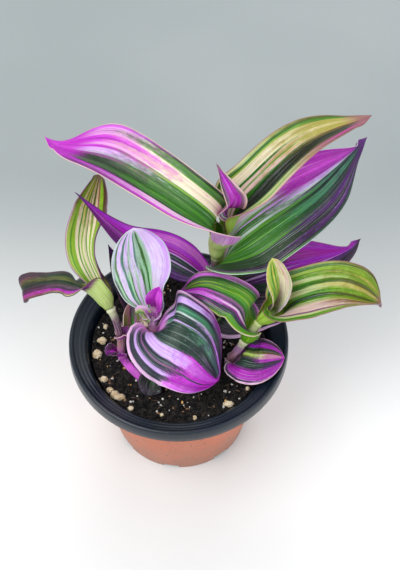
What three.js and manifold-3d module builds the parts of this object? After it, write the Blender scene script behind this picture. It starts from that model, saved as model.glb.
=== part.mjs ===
// Potted tradescantia: four striped shoots in a round two-colour nursery pot.
// Millimetres, +Z up, origin at the centre of the pot's underside.
import * as THREE from 'three';
import { mergeVertices } from 'three/addons/utils/BufferGeometryUtils.js';
import Module from 'manifold-3d';

const wasm = await Module();
wasm.setup();

// Pot
const RIM_RADIUS = 55;
const POT_HEIGHT = 75;
const BASE_RADIUS = 36;
const WALL = 1.2;
const FLOOR = 1.6;
const LIP_HEIGHT = 7;
const NECK_RADIUS = 46.9;
const NOTCH_COUNT = 8;
const NOTCH_WIDTH = 9;
const NOTCH_HEIGHT = 3.4;
const NOTCH_DEPTH = 10;
const NOTCH_PHASE = -98;
const DRAIN_COUNT = 6;
const DRAIN_RADIUS = 3.5;
const DRAIN_CIRCLE = 22;
const POT_SIDES = 48;

// Soil
const SOIL_TOP = 63;
const SOIL_GAP = 0.4;
const SOIL_BUMP = 0.7;
const SOIL_BANK = 2.2;
const BANK_FROM = 33;
const BANK_TO = 44;
const HOLE_GAP = 0.5;

// Plant
const STEM_RADIUS = 2;
const STEM_SIDES = 8;
const RING_HEIGHT = 0.45;
const BLADE = 0.7;
const FLAT_TIP = 6;
const CROWD = 0.35;
const TIP_HALF = 0.5;
const FOLD_PER_MM = 0.4;
const CLOSED = 166;
const LOBE_ROWS = 9;

const rad = (degrees) => degrees * Math.PI / 180;
const vec = (x, y, z) => new THREE.Vector3(x, y, z);
const smooth = (from, to, x) => {
  const t = Math.min(Math.max((x - from) / (to - from), 0), 1);
  return t * t * (3 - 2 * t);
};

let seed = 41;
function random() {
  seed = (seed * 1103515245 + 12345) % 2147483648;
  return seed / 2147483648;
}

// Smooth path through points, read by the distance along it and straight beyond its ends
class Path {
  constructor(points, steps = 24) {
    const curve = new THREE.CatmullRomCurve3(points.map((p) => vec(...p)), false, 'centripetal');
    this.steps = steps;
    this.dots = curve.getPoints(steps * (points.length - 1));
    this.at = [0];
    for (let i = 1; i < this.dots.length; i++) {
      this.at.push(this.at[i - 1] + this.dots[i].distanceTo(this.dots[i - 1]));
    }
    this.total = this.at[this.at.length - 1];
  }

  knot(index) {
    return this.at[index * this.steps];
  }

  point(s) {
    const later = this.at.findIndex((d) => d > s);
    const i = Math.max((later < 0 ? this.dots.length - 1 : later) - 1, 0);
    const f = (s - this.at[i]) / (this.at[i + 1] - this.at[i]);
    return this.dots[i].clone().lerp(this.dots[i + 1], f);
  }

  along(s) {
    return this.point(s + 0.8).sub(this.point(s - 0.8)).normalize();
  }
}

function geometry(points, faces) {
  const shape = new THREE.BufferGeometry();
  const flat = points.flatMap((p) => [p.x, p.y, p.z]);
  shape.setAttribute('position', new THREE.Float32BufferAttribute(flat, 3));
  shape.setIndex(faces.flat());
  shape.computeVertexNormals();
  return shape;
}

// Boolean work: a closed three.js geometry in, one out
function toSolid(shape) {
  const bare = shape.clone();
  bare.deleteAttribute('normal');
  bare.deleteAttribute('uv');
  const merged = mergeVertices(bare);
  const corners = [];
  for (let i = 0; i < merged.index.count; i += 3) {
    const face = [0, 1, 2].map((k) => merged.index.getX(i + k));
    if (new Set(face).size === 3) corners.push(...face);
  }
  return new wasm.Manifold(new wasm.Mesh({
    numProp: 3,
    vertProperties: new Float32Array(merged.attributes.position.array),
    triVerts: new Uint32Array(corners),
  }));
}

function fromSolid(solid) {
  const mesh = solid.getMesh();
  const shape = new THREE.BufferGeometry();
  shape.setAttribute('position', new THREE.Float32BufferAttribute(mesh.vertProperties, 3));
  shape.setIndex(Array.from(mesh.triVerts));
  shape.computeVertexNormals();
  return shape;
}

// Body of revolution about Z; the profile runs from the axis outward, up and back to the axis
function revolve(profile, sides) {
  return new THREE.LatheGeometry(profile.map(([r, z]) => new THREE.Vector2(r, z)), sides).rotateX(Math.PI / 2);
}

// Round tube along a path, its radius given at each distance
function tube(path, stations, radius, sides, start, end) {
  const points = [];
  for (const s of stations) {
    const t = path.along(s);
    const a = t.clone().cross(vec(0, 1, 0.2)).normalize();
    const b = t.clone().cross(a);
    for (let k = 0; k < sides; k++) {
      const turn = 2 * Math.PI * k / sides;
      const r = radius(s);
      points.push(path.point(s).addScaledVector(a, r * Math.cos(turn)).addScaledVector(b, r * Math.sin(turn)));
    }
  }
  const faces = [];
  for (let i = 0; i < stations.length - 1; i++) {
    for (let k = 0; k < sides; k++) {
      const n = (k + 1) % sides;
      const [a, b, c, d] = [i * sides + k, i * sides + n, (i + 1) * sides + n, (i + 1) * sides + k];
      faces.push([a, b, c], [a, c, d]);
    }
  }
  const low = points.push(path.point(start)) - 1;
  const high = points.push(path.point(end)) - 1;
  const top = (stations.length - 1) * sides;
  for (let k = 0; k < sides; k++) {
    const n = (k + 1) % sides;
    faces.push([low, n, k], [high, top + k, top + n]);
  }
  return geometry(points, faces);
}

// Shoots: the path of each stem from its foot in the soil, and where it ends
const stems = {
  main: {
    points: [
      [19, 16, 45], [18, 17, 63], [17, 18.5, 80], [17.5, 19.5, 96], [18, 20.3, 110], [19.5, 22, 122.5], [21.8, 24, 132],
    ],
    end: 83,
    nodes: [37, 46, 56, 68],
  },
  left: {
    points: [
      [-4, -30, 52], [-14, -23.5, 64], [-27.5, -11, 72], [-28, -6, 82], [-30, -2.5, 93], [-35, 3.5, 103], [-38, 8, 111],
    ],
    end: 78,
    nodes: [39, 50, 67],
  },
  front: {
    points: [[-5, -24, 45], [-7, -19, 63], [-10, -13, 82], [-12, -9, 98], [-11, -3, 104]],
    end: 60,
    nodes: [38, 49, 58],
  },
  right: {
    points: [[20, -9, 45], [24.7, -8.5, 63], [31, -7.5, 78], [38.5, -3, 90], [46.5, -0.5, 100]],
    end: 57.5,
    nodes: [38.5, 51.5],
  },
};
for (const stem of Object.values(stems)) stem.path = new Path(stem.points);

// Leaves. Each has a sheath round its stem and a blade along a midrib.
// node, sheath: where the sheath starts on the stem and its length; side: compass side in degrees
// ring, flare: sheath radius and how it widens; wrap: degrees the sheath reaches round on each hand
// mid: points of the midrib after the sheath; face: the way the upper face looks, mid-blade and tip
// fold, curl: degrees each half rises and bends, mid-blade and tip; L and R are the two halves
// wave: amplitudes of the margin's ripple in mm; lobe: how far each half's base lies back beyond the sheath
// round: how fast the blade broadens from the sheath
// opens, curls, turn: share of the blade over which the funnel opens, the margins bend and the face turns
const leafDefaults = {
  ring: 3, flare: 1.3, wrap: [CLOSED, 140], opens: 0.2, curls: 0, turn: 0.3, lobe: [0, 0], round: 2,
  waveL: [0, 0], waveR: [0, 0], rows: 10, columns: 8,
};
const small = { rows: 8, columns: 6 };
const leaves = {
  leaf_main_left: {
    stem: 'main', node: 68, sheath: 8, side: 212, flare: 1.5, wrap: [CLOSED, 105], opens: 0.15, turn: 0.35,
    mid: [[14.5, 11.5, 144], [-27.5, 38, 155], [-56, 55.5, 150], [-62.3, 60, 152.5]],
    face: [[-0.1, -0.45, 0.9], [0.1, -0.3, 0.95]],
    width: 37.5, widest: 0.65, point: 1.3,
    foldL: [44, 37], curlL: [29, 27], foldR: [17, 6], curlR: [8, -1],
    waveL: [0.6, 0.2], waveR: [0.4, -2],
  },
  leaf_main_top: {
    stem: 'main', node: 79.5, sheath: 4, side: 20, ring: 2.9, flare: 1.1, wrap: [75, 75], opens: 0.15, turn: 0.35,
    mid: [[37.5, 31, 146.5], [58, 43, 162.5], [89, 60.5, 165.5]],
    face: [[0.1, -0.5, 0.85], [0.2, -0.3, 0.9]],
    width: 35, widest: 0.2, point: 1,
    foldL: [18, -3], curlL: [17, -7], foldR: [48, 39], curlR: [40, 26],
    waveL: [0.6, -0.2], waveR: [0.9, 0.1],
  },
  leaf_main_right: {
    stem: 'main', node: 56, sheath: 6, side: -20, wrap: [CLOSED, 100], opens: 0.15, turn: 0.25,
    mid: [[28, 19.5, 123.5], [64, 38.5, 142], [91.5, 70.5, 142]],
    face: [[0, -0.5, 0.85], [0.2, -0.4, 0.9]],
    width: 44, widest: 0.28, point: 1.15,
    foldL: [-8, 72], curlL: [-21, 48], foldR: [19, -11], curlR: [7, -20],
    waveL: [0.8, -0.2], waveR: [0.6, 0.2],
  },
  leaf_main_young: {
    stem: 'main', node: 83.8, sheath: 9, side: 200, ring: 2, flare: 1.1, wrap: [85, 85], ...small,
    mid: [[25, 16.7, 156.4], [23, 15.1, 165.2], [17.5, 21, 175]],
    face: [[0.1, -0.9, 0.3], [0.3, -0.8, 0.3]],
    width: 13.5, widest: 0.35, point: 1.4,
    foldL: [35, 45], curlL: [10, 20], foldR: [-5, 5], curlR: [15, 15],
  },
  leaf_main_low_left: {
    stem: 'main', node: 46, sheath: 3, side: 170, wrap: [CLOSED, 80],
    mid: [[-1, 23.4, 107.9], [-24.5, 28, 118], [-47.1, 34.5, 142.3]],
    face: [[-0.1, -0.45, 0.9], [0.1, -0.4, 0.9]],
    width: 20, widest: 0.24, point: 1.75,
    foldL: [-4, 10], curlL: [11, 1], foldR: [12, 23], curlR: [9, 13],
    waveL: [0.5, -0.2], waveR: [-1.6, 0.7],
  },
  leaf_main_low_right: {
    stem: 'main', node: 37, sheath: 3, side: 10, wrap: [CLOSED, 80],
    mid: [[46.5, 21, 97.5], [84.5, 36, 98.5], [91.5, 42, 99.5]],
    face: [[0.1, -0.4, 0.9], [0.1, -0.4, 0.9]],
    width: 31, widest: 0.46, point: 1.2,
    foldL: [21, 66], curlL: [11, 51], foldR: [10, 14], curlR: [5, 4],
    waveL: [0.3, 0],
  },
  leaf_main_basal: {
    stem: 'main', node: 20, sheath: 3, side: -20, wrap: [CLOSED, 75], rows: 8,
    mid: [[26, 9, 74], [44.5, 7.5, 80], [53.5, 8, 76.5]],
    face: [[0, -0.2, 0.95], [0.2, -0.2, 0.95]],
    width: 23, widest: 0.29, point: 1.05,
    foldL: [5, 4], curlL: [0, -1], foldR: [15, 11], curlR: [9, 5],
    waveR: [0.1, 0.3],
  },
  leaf_left_upright: {
    stem: 'left', node: 73, sheath: 4, side: 100, ring: 2.7, flare: 1.1, wrap: [CLOSED, 120], opens: 0.25, turn: 0.2,
    mid: [[-42.5, 19.5, 114], [-43.5, 45, 115.5], [-39.7, 64, 122.8]],
    face: [[0.1, -0.9, 0.35], [0.1, -0.9, 0.3]],
    width: 26, widest: 0.53, point: 0.7,
    foldL: [25, 32], curlL: [24, 37], foldR: [41, 40], curlR: [43, 30],
    waveR: [-0.1, 0.5],
  },
  leaf_left_drooping: {
    stem: 'left', node: 67, sheath: 11, side: 190, ring: 2.8, flare: 2.3, wrap: [CLOSED, 130], opens: 0.15,
    mid: [[-53.5, 6, 111.5], [-71, 0.5, 114], [-71, 2.5, 101.5]],
    face: [[0, -0.2, 0.95], [-0.6, -0.2, 0.7]],
    width: 15.5, widest: 0.55, point: 0.9,
    foldL: [19, -5], curlL: [9, -4], foldR: [-21, 18], curlR: [-26, 17],
    waveL: [-0.2, 0.2], waveR: [-0.2, 0],
  },
  leaf_left_inner: {
    stem: 'left', node: 50, sheath: 3, side: 0, ring: 3.6, wrap: [CLOSED, 60], ...small,
    mid: [[-22.5, -4.5, 90.5], [-22, 0, 97], [-21.5, 3, 101]],
    face: [[0.1, -0.8, 0.5], [0.1, -0.8, 0.5]],
    width: 10, widest: 0.4, point: 1,
    foldL: [25, 20], curlL: [25, 10], foldR: [25, 20], curlR: [25, 10],
  },
  leaf_left_basal: {
    stem: 'left', node: 39, sheath: 3, side: 215, ring: 3.3, flare: 1.2, wrap: [130, 60], ...small,
    mid: [[-32.4, -10.9, 78], [-33.7, -12.4, 78.6], [-34.9, -13.9, 77.8]],
    face: [[0.1, -0.3, 0.9], [0.1, -0.3, 0.9]],
    width: 7.5, widest: 0.2, point: 1,
    foldL: [10, 10], curlL: [20, 10], foldR: [10, 10], curlR: [20, 10],
  },
  leaf_front_upright: {
    stem: 'front', node: 58, sheath: 3, side: 90, wrap: [CLOSED, 110],
    mid: [[-14, 9, 113.5], [-16.5, 13, 126], [-19.5, 16, 138.5]],
    face: [[0.1, -0.8, 0.6], [0, -0.9, 0.4]],
    width: 33, widest: 0.47, point: 0.7,
    foldL: [12, 0], curlL: [13, 2], foldR: [48, 1], curlR: [40, 3],
    waveL: [0.1, -0.1], waveR: [0.3, 0],
  },
  leaf_front_heart: {
    stem: 'front', node: 49, sheath: 4, side: -60, ring: 3, wrap: [CLOSED, 100], opens: 0.1,
    curls: 0.25, lobe: [0.7, 0.02], round: 4.5, rows: 14,
    mid: [[-3.8, -17.9, 103.8], [7.5, -23.6, 101], [19.5, -26.2, 75.7]],
    face: [[0.24, -0.46, 0.85], [0.55, -0.52, 0.57]],
    width: 47.5, widest: 0.38, point: 0.75,
    foldL: [8, 4], curlL: [-60, -43], foldR: [-6, 11], curlR: [-26, -17],
    waveL: [-0.5, -0.5], waveR: [0.1, -0.1],
  },
  leaf_front_young: {
    stem: 'front', node: 60.8, sheath: 2.5, side: 60, ring: 1.6, flare: 1.2, wrap: [100, 80], ...small,
    mid: [[-10, -5.5, 114], [-9, -5, 118], [-8, -4, 121]],
    face: [[-0.3, -0.8, 0.4], [-0.3, -0.8, 0.4]],
    width: 9, widest: 0.6, point: 1,
    foldL: [30, 20], curlL: [20, 10], foldR: [30, 20], curlR: [20, 10],
  },
  leaf_front_back: {
    stem: 'front', node: 38, sheath: 3, side: 120, ring: 3.2, wrap: [CLOSED, 70], ...small,
    mid: [[-18, 3, 90], [-27, 17, 101], [-34, 29, 111]],
    face: [[0.1, -0.5, 0.85], [0.1, -0.5, 0.85]],
    width: 15, widest: 0.4, point: 1.2,
    foldL: [20, 20], curlL: [15, 10], foldR: [20, 20], curlR: [15, 10],
  },
  leaf_front_basal: {
    stem: 'front', node: 21.5, sheath: 2.5, side: -120, ring: 3.3, flare: 1.1, wrap: [120, 80], ...small,
    mid: [[-12.5, -22, 68.5], [-14, -26, 67.5], [-14.5, -30, 66]],
    face: [[0.1, -0.2, 0.95], [0.1, -0.2, 0.95]],
    width: 13, widest: 0.4, point: 0.9,
    foldL: [5, 5], curlL: [5, 5], foldR: [5, 5], curlR: [5, 5],
  },
  leaf_right_arched: {
    stem: 'right', node: 38.5, sheath: 6, side: 180, flare: 1.6, wrap: [CLOSED, 145], turn: 0.4,
    mid: [[31.5, -0.8, 101.3], [13, 7.8, 104.6], [1, 9.8, 98.9]],
    face: [[-0.1, -0.3, 0.9], [-0.3, -0.2, 0.9]],
    width: 21.5, widest: 0.4, point: 0.9,
    foldL: [-8, -14], curlL: [-13, -11], foldR: [-9, 13], curlR: [-16, 2],
    waveL: [0.7, -0.6], waveR: [-0.9, -1.2],
  },
  leaf_right_long: {
    stem: 'right', node: 51.5, sheath: 9, side: 0, ring: 2.8, flare: 2, wrap: [CLOSED, 155], turn: 0.35,
    mid: [[57.5, -2, 107], [74, 0, 109.5], [96.5, 0.5, 101]],
    face: [[0, -0.45, 0.9], [0.1, -0.4, 0.9]],
    width: 36, widest: 0.48, point: 0.7,
    foldL: [30, 21], curlL: [25, 12], foldR: [38, 55], curlR: [29, 44],
    waveL: [-0.8, -0.4], waveR: [0.2, 0.5],
  },
  leaf_right_young: {
    stem: 'right', node: 58.5, sheath: 2, side: 70, ring: 1.8, wrap: [110, 110], rows: 8,
    mid: [[47.6, -1, 116], [45.1, 1, 127.5], [43, 3.5, 132.5]],
    face: [[0, -0.8, 0.6], [0, -0.9, 0.4]],
    width: 15.5, widest: 0.62, point: 0.8,
    foldL: [49, 16], curlL: [38, 17], foldR: [45, 18], curlR: [55, 24],
    waveL: [0, -0.1], waveR: [0, -0.2],
  },
  leaf_right_oval: {
    stem: 'right', node: 21.5, sheath: 3, side: -30, ring: 3.1, wrap: [CLOSED, 85], rows: 8,
    mid: [[31.5, -12, 73.5], [37, -14, 74.5], [51.5, -15.5, 78.5]],
    face: [[0, -0.35, 0.9], [0.1, -0.35, 0.9]],
    width: 27, widest: 0.36, point: 0.7,
    foldL: [-13, -3], curlL: [-29, -17], foldR: [15, 18], curlR: [-6, -5],
    waveL: [-0.1, 0], waveR: [0.3, 0],
  },
};

// Grid of points over a leaf's middle surface: rows along it, columns across
function leafGrid(options) {
  const leaf = { ...leafDefaults, ...options };
  const path = stems[leaf.stem].path;
  const mouth = leaf.node + leaf.sheath;
  const flat = vec(Math.cos(rad(leaf.side)), Math.sin(rad(leaf.side)), 0);
  const outward = (s) => flat.clone().addScaledVector(path.along(s), -flat.dot(path.along(s))).normalize();
  const foot = path.point(leaf.node).addScaledVector(outward(leaf.node), leaf.ring);
  const edge = path.point(mouth).addScaledVector(outward(mouth), leaf.ring * leaf.flare);
  const rib = new Path([foot.toArray(), edge.toArray(), ...leaf.mid]);
  const start = rib.knot(1);
  const inward = outward(mouth).negate();
  const faces = leaf.face.map((f) => vec(...f).normalize());
  const [wrapFoot, wrapMouth] = leaf.wrap.map(rad);
  const half = leaf.width / 2;
  const baseHalf = wrapMouth * leaf.ring * leaf.flare;
  const chord = rib.point(start).sub(rib.point(rib.total)).normalize();
  const grid = [];
  const ways = [];

  for (const k of [0, 0.5]) {
    const here = leaf.node + leaf.sheath * k;
    const bend = wrapFoot + (wrapMouth - wrapFoot) * k;
    const reach = bend * leaf.ring * (1 + (leaf.flare - 1) * k);
    const along = path.along(here);
    const up = outward(here).negate();
    grid.push(crossRow(leaf, rib.point(start * k), along, up, reach, [0, 0], [bend, bend], [0, 0]));
    ways.push(along);
  }
  for (let i = 0; i <= leaf.rows; i++) {
    const u = (i / leaf.rows) * (0.75 + 0.25 * i / leaf.rows);
    const s = start + (rib.total - start) * u;
    const along = rib.along(s);
    const late = smooth(0.35, 1, u);
    const turned = smooth(0, leaf.turn, u);
    const look = faces[0].clone().multiplyScalar(1 - late).addScaledVector(faces[1], late).normalize();
    const up = inward.clone().multiplyScalar(1 - turned).addScaledVector(look, turned).normalize();
    up.addScaledVector(along, -up.dot(along)).normalize();
    let reach;
    if (u < leaf.widest) {
      reach = half - (half - baseHalf) * (1 - u / leaf.widest) ** leaf.round;
    } else {
      const x = (u - leaf.widest) / (1 - leaf.widest);
      reach = Math.max(half * (1 - x) ** leaf.point * (1 + leaf.point * x), TIP_HALF);
    }
    const open = smooth(0, leaf.opens, u);
    const tip = smooth(0.3, 1, u);
    const slim = smooth(0, FLAT_TIP, reach);
    const curled = smooth(0, leaf.curls || leaf.opens, u);
    const at = ([from, to]) => rad(from + (to - from) * tip) * slim;
    const steep = open * Math.abs(at(leaf.foldL) + at(leaf.foldR));
    const ease = open * Math.min(1, FOLD_PER_MM * reach / Math.max(steep, 0.01));
    const fold = [ease * at(leaf.foldL), ease * at(leaf.foldR)];
    const cup = wrapMouth * (1 - open);
    const bend = [cup + curled * at(leaf.curlL), cup + curled * at(leaf.curlR)];
    const phase = 4 * Math.PI * u;
    const swing = Math.sqrt(Math.max(Math.sin(Math.PI * u), 0));
    const ripple = [leaf.waveL, leaf.waveR].map(([a, b]) => swing * (a * Math.sin(phase) + b * Math.cos(phase)));
    const row = crossRow(leaf, rib.point(s), along, up, reach, fold, bend, ripple);
    const heart = smooth(0, 0.08, u) * (1 - smooth(0.05, 0.5, u));
    row.forEach((point, j) => {
      const v = 2 * j / leaf.columns - 1;
      point.addScaledVector(chord, leaf.lobe[v > 0 ? 1 : 0] * heart * v * v * reach);
    });
    grid.push(row);
    ways.push(along);
  }
  return spread(grid, ways, leaf.lobe[0] > 0 ? LOBE_ROWS : 1);
}

// Where the midrib bends sharply, rows on the inside of the bend are pushed on so that none overtakes another
function spread(grid, ways, first) {
  const middle = (grid[0].length - 1) / 2;
  for (let i = first; i < grid.length; i++) {
    const way = ways[i - 1].clone().add(ways[i]).normalize();
    const least = CROWD * grid[i][middle].distanceTo(grid[i - 1][middle]);
    grid[i].forEach((point, j) => {
      const step = point.clone().sub(grid[i - 1][j]).dot(way);
      if (step < least) point.addScaledVector(way, least - step);
    });
  }
  return grid;
}

function crossRow(leaf, middle, along, up, reach, fold, bend, ripple) {
  const across = along.clone().cross(up);
  const row = [];
  for (let j = 0; j <= leaf.columns; j++) {
    const v = 2 * j / leaf.columns - 1;
    const a = Math.abs(v);
    const h = v > 0 ? 1 : 0;
    let x = a * Math.cos(fold[h]);
    let z = a * Math.sin(fold[h]);
    if (Math.abs(bend[h]) > 1e-4) {
      x = (Math.sin(fold[h] + bend[h] * a) - Math.sin(fold[h])) / bend[h];
      z = (Math.cos(fold[h]) - Math.cos(fold[h] + bend[h] * a)) / bend[h];
    }
    const point = middle.clone().addScaledVector(across, (h ? 1 : -1) * x * reach);
    row.push(point.addScaledVector(up, z * reach + ripple[h] * a * a));
  }
  return row;
}

// Closed blade: the grid's upper and lower faces joined round the edge
function thicken(grid, thickness) {
  const [rows, columns] = [grid.length, grid[0].length];
  const points = [];
  const at = (i, j) => grid[Math.min(Math.max(i, 0), rows - 1)][Math.min(Math.max(j, 0), columns - 1)];
  for (const side of [0.5, -0.5]) {
    for (let i = 0; i < rows; i++) {
      for (let j = 0; j < columns; j++) {
        const down = at(i + 1, j).clone().sub(at(i - 1, j));
        const over = at(i, j + 1).clone().sub(at(i, j - 1));
        points.push(at(i, j).clone().addScaledVector(over.cross(down).normalize(), side * thickness));
      }
    }
  }
  const lower = rows * columns;
  const faces = [];
  for (let i = 0; i < rows - 1; i++) {
    for (let j = 0; j < columns - 1; j++) {
      const [a, b] = [i * columns + j, i * columns + j + 1];
      const [c, d] = [b + columns, a + columns];
      faces.push([a, b, c], [a, c, d]);
      faces.push([a + lower, c + lower, b + lower], [a + lower, d + lower, c + lower]);
    }
  }
  const loop = [];
  for (let i = 0; i < rows; i++) loop.push(i * columns);
  for (let j = 1; j < columns; j++) loop.push((rows - 1) * columns + j);
  for (let i = rows - 2; i >= 0; i--) loop.push(i * columns + columns - 1);
  for (let j = columns - 2; j > 0; j--) loop.push(j);
  loop.forEach((p, k) => {
    const q = loop[(k + 1) % loop.length];
    faces.push([p, q, q + lower], [p, q + lower, p + lower]);
  });
  return geometry(points, faces);
}

const model = new THREE.Group();
model.name = 'potted_tradescantia';
function add(name, shape, colour, roughness = 0.6) {
  const mesh = new THREE.Mesh(shape, new THREE.MeshStandardMaterial({ color: colour, roughness }));
  mesh.name = name;
  model.add(mesh);
}

// Pot with a turned-down lip, a sloping flange, drain holes and notches in its foot
const lipFoot = POT_HEIGHT - LIP_HEIGHT;
const potProfile = [
  [0, 0], [14, 0], [15, 0.7], [29, 0.7], [30, 0], [BASE_RADIUS - 0.8, 0], [BASE_RADIUS, 0.8],
  [NECK_RADIUS, lipFoot - 0.4], [NECK_RADIUS + 0.7, lipFoot + 1.4], [52.5, 72.3], [53.5, 71.8],
  [RIM_RADIUS - WALL, lipFoot + 0.2], [RIM_RADIUS - WALL + 0.2, lipFoot], [RIM_RADIUS - 0.2, lipFoot],
  [RIM_RADIUS, lipFoot + 0.3], [54.6, 73.6], [54.2, 74.6], [53.6, POT_HEIGHT], [53, 74.8], [52.3, 73.9],
  [NECK_RADIUS + 0.3, 71], [NECK_RADIUS - 0.9, 69.6], [NECK_RADIUS - WALL - 0.1, lipFoot - 0.4],
  [BASE_RADIUS - WALL, FLOOR + 0.8], [BASE_RADIUS - WALL - 1, FLOOR], [0, FLOOR],
];
let pot = toSolid(revolve(potProfile, POT_SIDES));
for (let i = 0; i < DRAIN_COUNT; i++) {
  const drain = new THREE.CylinderGeometry(DRAIN_RADIUS, DRAIN_RADIUS, 4 * FLOOR, 16).rotateX(Math.PI / 2);
  pot = pot.subtract(toSolid(drain.translate(DRAIN_CIRCLE, 0, 0).rotateZ(2 * Math.PI * i / DRAIN_COUNT)));
}
for (let i = 0; i < NOTCH_COUNT; i++) {
  const notch = new THREE.BoxGeometry(NOTCH_DEPTH, NOTCH_WIDTH, 2 * NOTCH_HEIGHT).translate(BASE_RADIUS, 0, 0);
  pot = pot.subtract(toSolid(notch.rotateZ(rad(NOTCH_PHASE + 360 * i / NOTCH_COUNT))));
}
add('pot', fromSolid(pot), '#b5603c', 0.55);

// Soil with plain holes for the stems and stones lying in its top
const wallSlope = (NECK_RADIUS - 0.1 - BASE_RADIUS) / (lipFoot - 0.4 - FLOOR - 0.8);
const wallAt = (z) => BASE_RADIUS - WALL + wallSlope * (z - FLOOR - 0.8);
const bank = (r) => SOIL_BANK * smooth(BANK_FROM, BANK_TO, r);
const soilProfile = [
  [0, FLOOR + SOIL_GAP], [BASE_RADIUS - WALL - 1.6, FLOOR + SOIL_GAP],
  [wallAt(4) - SOIL_GAP, 4], [wallAt(61.5) - SOIL_GAP, 61.5], [wallAt(64) - SOIL_GAP, SOIL_TOP + bank(44)],
  [40, SOIL_TOP + bank(40)], [36, SOIL_TOP + bank(36)], [28, SOIL_TOP + 0.1], [20, SOIL_TOP - 0.1],
  [12, SOIL_TOP + 0.1], [0, SOIL_TOP],
];
const filling = revolve(soilProfile, 32);
filling.deleteAttribute('normal');
filling.deleteAttribute('uv');
const ground = mergeVertices(filling);
const place = ground.attributes.position;
for (let i = 0; i < place.count; i++) {
  if (place.getZ(i) > SOIL_TOP - 0.5) place.setZ(i, place.getZ(i) + SOIL_BUMP * (random() - 0.5));
}
let soil = toSolid(ground);
const stones = [
  [-44, -5.5, 2.5], [-35.6, -27.5, 1.7], [-32.3, -33.4, 2.5], [-37, -20, 2], [-31.5, -28.8, 1.9],
  [24.6, -34, 2.3], [-39.4, 3, 2.4], [-24, -38, 1.2], [8, -41, 1.2], [34, -25, 1.2], [-8, -39, 1], [-38, 12, 1.5],
];
for (const [x, y, r] of stones) {
  const reach = Math.min(1, (wallAt(61) - SOIL_GAP - r) / Math.hypot(x, y));
  const height = SOIL_TOP + bank(Math.hypot(x, y) * reach);
  const stone = new THREE.SphereGeometry(r, 8, 6).scale(1, 0.85, 0.8).rotateZ(2 * Math.PI * random());
  soil = soil.add(toSolid(stone.translate(x * reach, y * reach, height)));
}
for (const stem of Object.values(stems)) {
  const stations = [-0.4, 4, 8, 12, 16, 20, 26];
  const hole = tube(stem.path, stations, () => STEM_RADIUS + HOLE_GAP, STEM_SIDES, -0.4, 26);
  soil = soil.subtract(toSolid(hole));
}
add('soil', fromSolid(soil), '#2b211b', 0.95);

// Stems with a low ring under each sheath
for (const [name, stem] of Object.entries(stems)) {
  const radius = (s) => {
    const rings = stem.nodes.map((n) => RING_HEIGHT * Math.exp(-(((s - n + 1.7) / 0.7) ** 2)));
    return STEM_RADIUS - 0.35 * smooth(stem.end - 12, stem.end, s) + Math.max(...rings);
  };
  const stations = stem.nodes.flatMap((n) => [n - 2.6, n - 1.7, n - 0.8]);
  for (let s = 0; s < stem.end - 2; s += 4.5) {
    if (stations.every((t) => Math.abs(t - s) > 1.4)) stations.push(s);
  }
  stations.push(stem.end);
  stations.sort((a, b) => a - b);
  add('stem_' + name, tube(stem.path, stations, radius, STEM_SIDES, 0, stem.end), '#8a5a5e', 0.5);
}

for (const [name, options] of Object.entries(leaves)) {
  add(name, thicken(leafGrid(options), BLADE), '#7d9a5c', 0.45);
}

export default model;
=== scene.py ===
import math
import random
import bpy
import bmesh
import numpy as np
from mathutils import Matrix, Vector, noise


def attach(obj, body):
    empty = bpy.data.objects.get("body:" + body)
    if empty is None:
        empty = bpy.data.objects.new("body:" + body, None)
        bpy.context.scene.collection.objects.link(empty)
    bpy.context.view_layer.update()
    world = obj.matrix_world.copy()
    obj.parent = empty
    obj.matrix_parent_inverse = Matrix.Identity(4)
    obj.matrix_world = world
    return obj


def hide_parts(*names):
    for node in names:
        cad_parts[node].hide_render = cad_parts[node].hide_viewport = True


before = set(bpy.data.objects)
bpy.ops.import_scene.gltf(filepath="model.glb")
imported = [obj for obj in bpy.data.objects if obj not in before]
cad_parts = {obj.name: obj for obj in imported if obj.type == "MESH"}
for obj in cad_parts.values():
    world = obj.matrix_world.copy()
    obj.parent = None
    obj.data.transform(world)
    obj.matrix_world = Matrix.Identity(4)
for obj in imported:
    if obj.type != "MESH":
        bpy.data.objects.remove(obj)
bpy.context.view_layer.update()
print("frame loaded")

mm = 0.001  # shapes are in millimetres, as in the part's source; camera, lamps and paints are in metres


def unit(v):
    v = np.asarray(v, float)
    return v / max(float(np.linalg.norm(v)), 1e-9)


def smooth(low, high, x):
    t = np.clip((x - low) / (high - low), 0, 1)
    return t * t * (3 - 2 * t)


class Path:  # a smooth line through points, read by the distance along it
    def __init__(self, points, steps=24):
        p = [np.array(q, float) for q in points]
        p = [2 * p[0] - p[1]] + p + [2 * p[-1] - p[-2]]
        parts = []
        for i in range(1, len(p) - 2):
            ab, bc, cd = [np.linalg.norm(p[i + k] - p[i + k - 1]) ** 0.5 for k in range(3)]
            leave = ((p[i] - p[i-1]) / ab - (p[i+1] - p[i-1]) / (ab + bc) + (p[i+1] - p[i]) / bc) * bc
            reach = ((p[i+1] - p[i]) / bc - (p[i+2] - p[i]) / (bc + cd) + (p[i+2] - p[i+1]) / cd) * bc
            t = np.arange(steps if i < len(p) - 3 else steps + 1)[:, None] / steps
            bend = -3 * p[i] + 3 * p[i+1] - 2 * leave - reach
            parts.append(p[i] + leave * t + bend * t ** 2 + (2 * p[i] - 2 * p[i+1] + leave + reach) * t ** 3)
        self.dots = np.concatenate(parts)
        self.at = np.concatenate([[0], np.cumsum(np.linalg.norm(np.diff(self.dots, axis=0), axis=1))])
        self.total = self.at[-1]
        self.steps = steps

    def knot(self, index):
        return self.at[index * self.steps]

    def point(self, s):
        i = int(np.clip(np.searchsorted(self.at, s, side="right") - 1, 0, len(self.at) - 2))
        f = (s - self.at[i]) / (self.at[i + 1] - self.at[i])
        return self.dots[i] + (self.dots[i + 1] - self.dots[i]) * f

    def along(self, s):
        return unit(self.point(s + 0.8) - self.point(s - 0.8))


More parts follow.
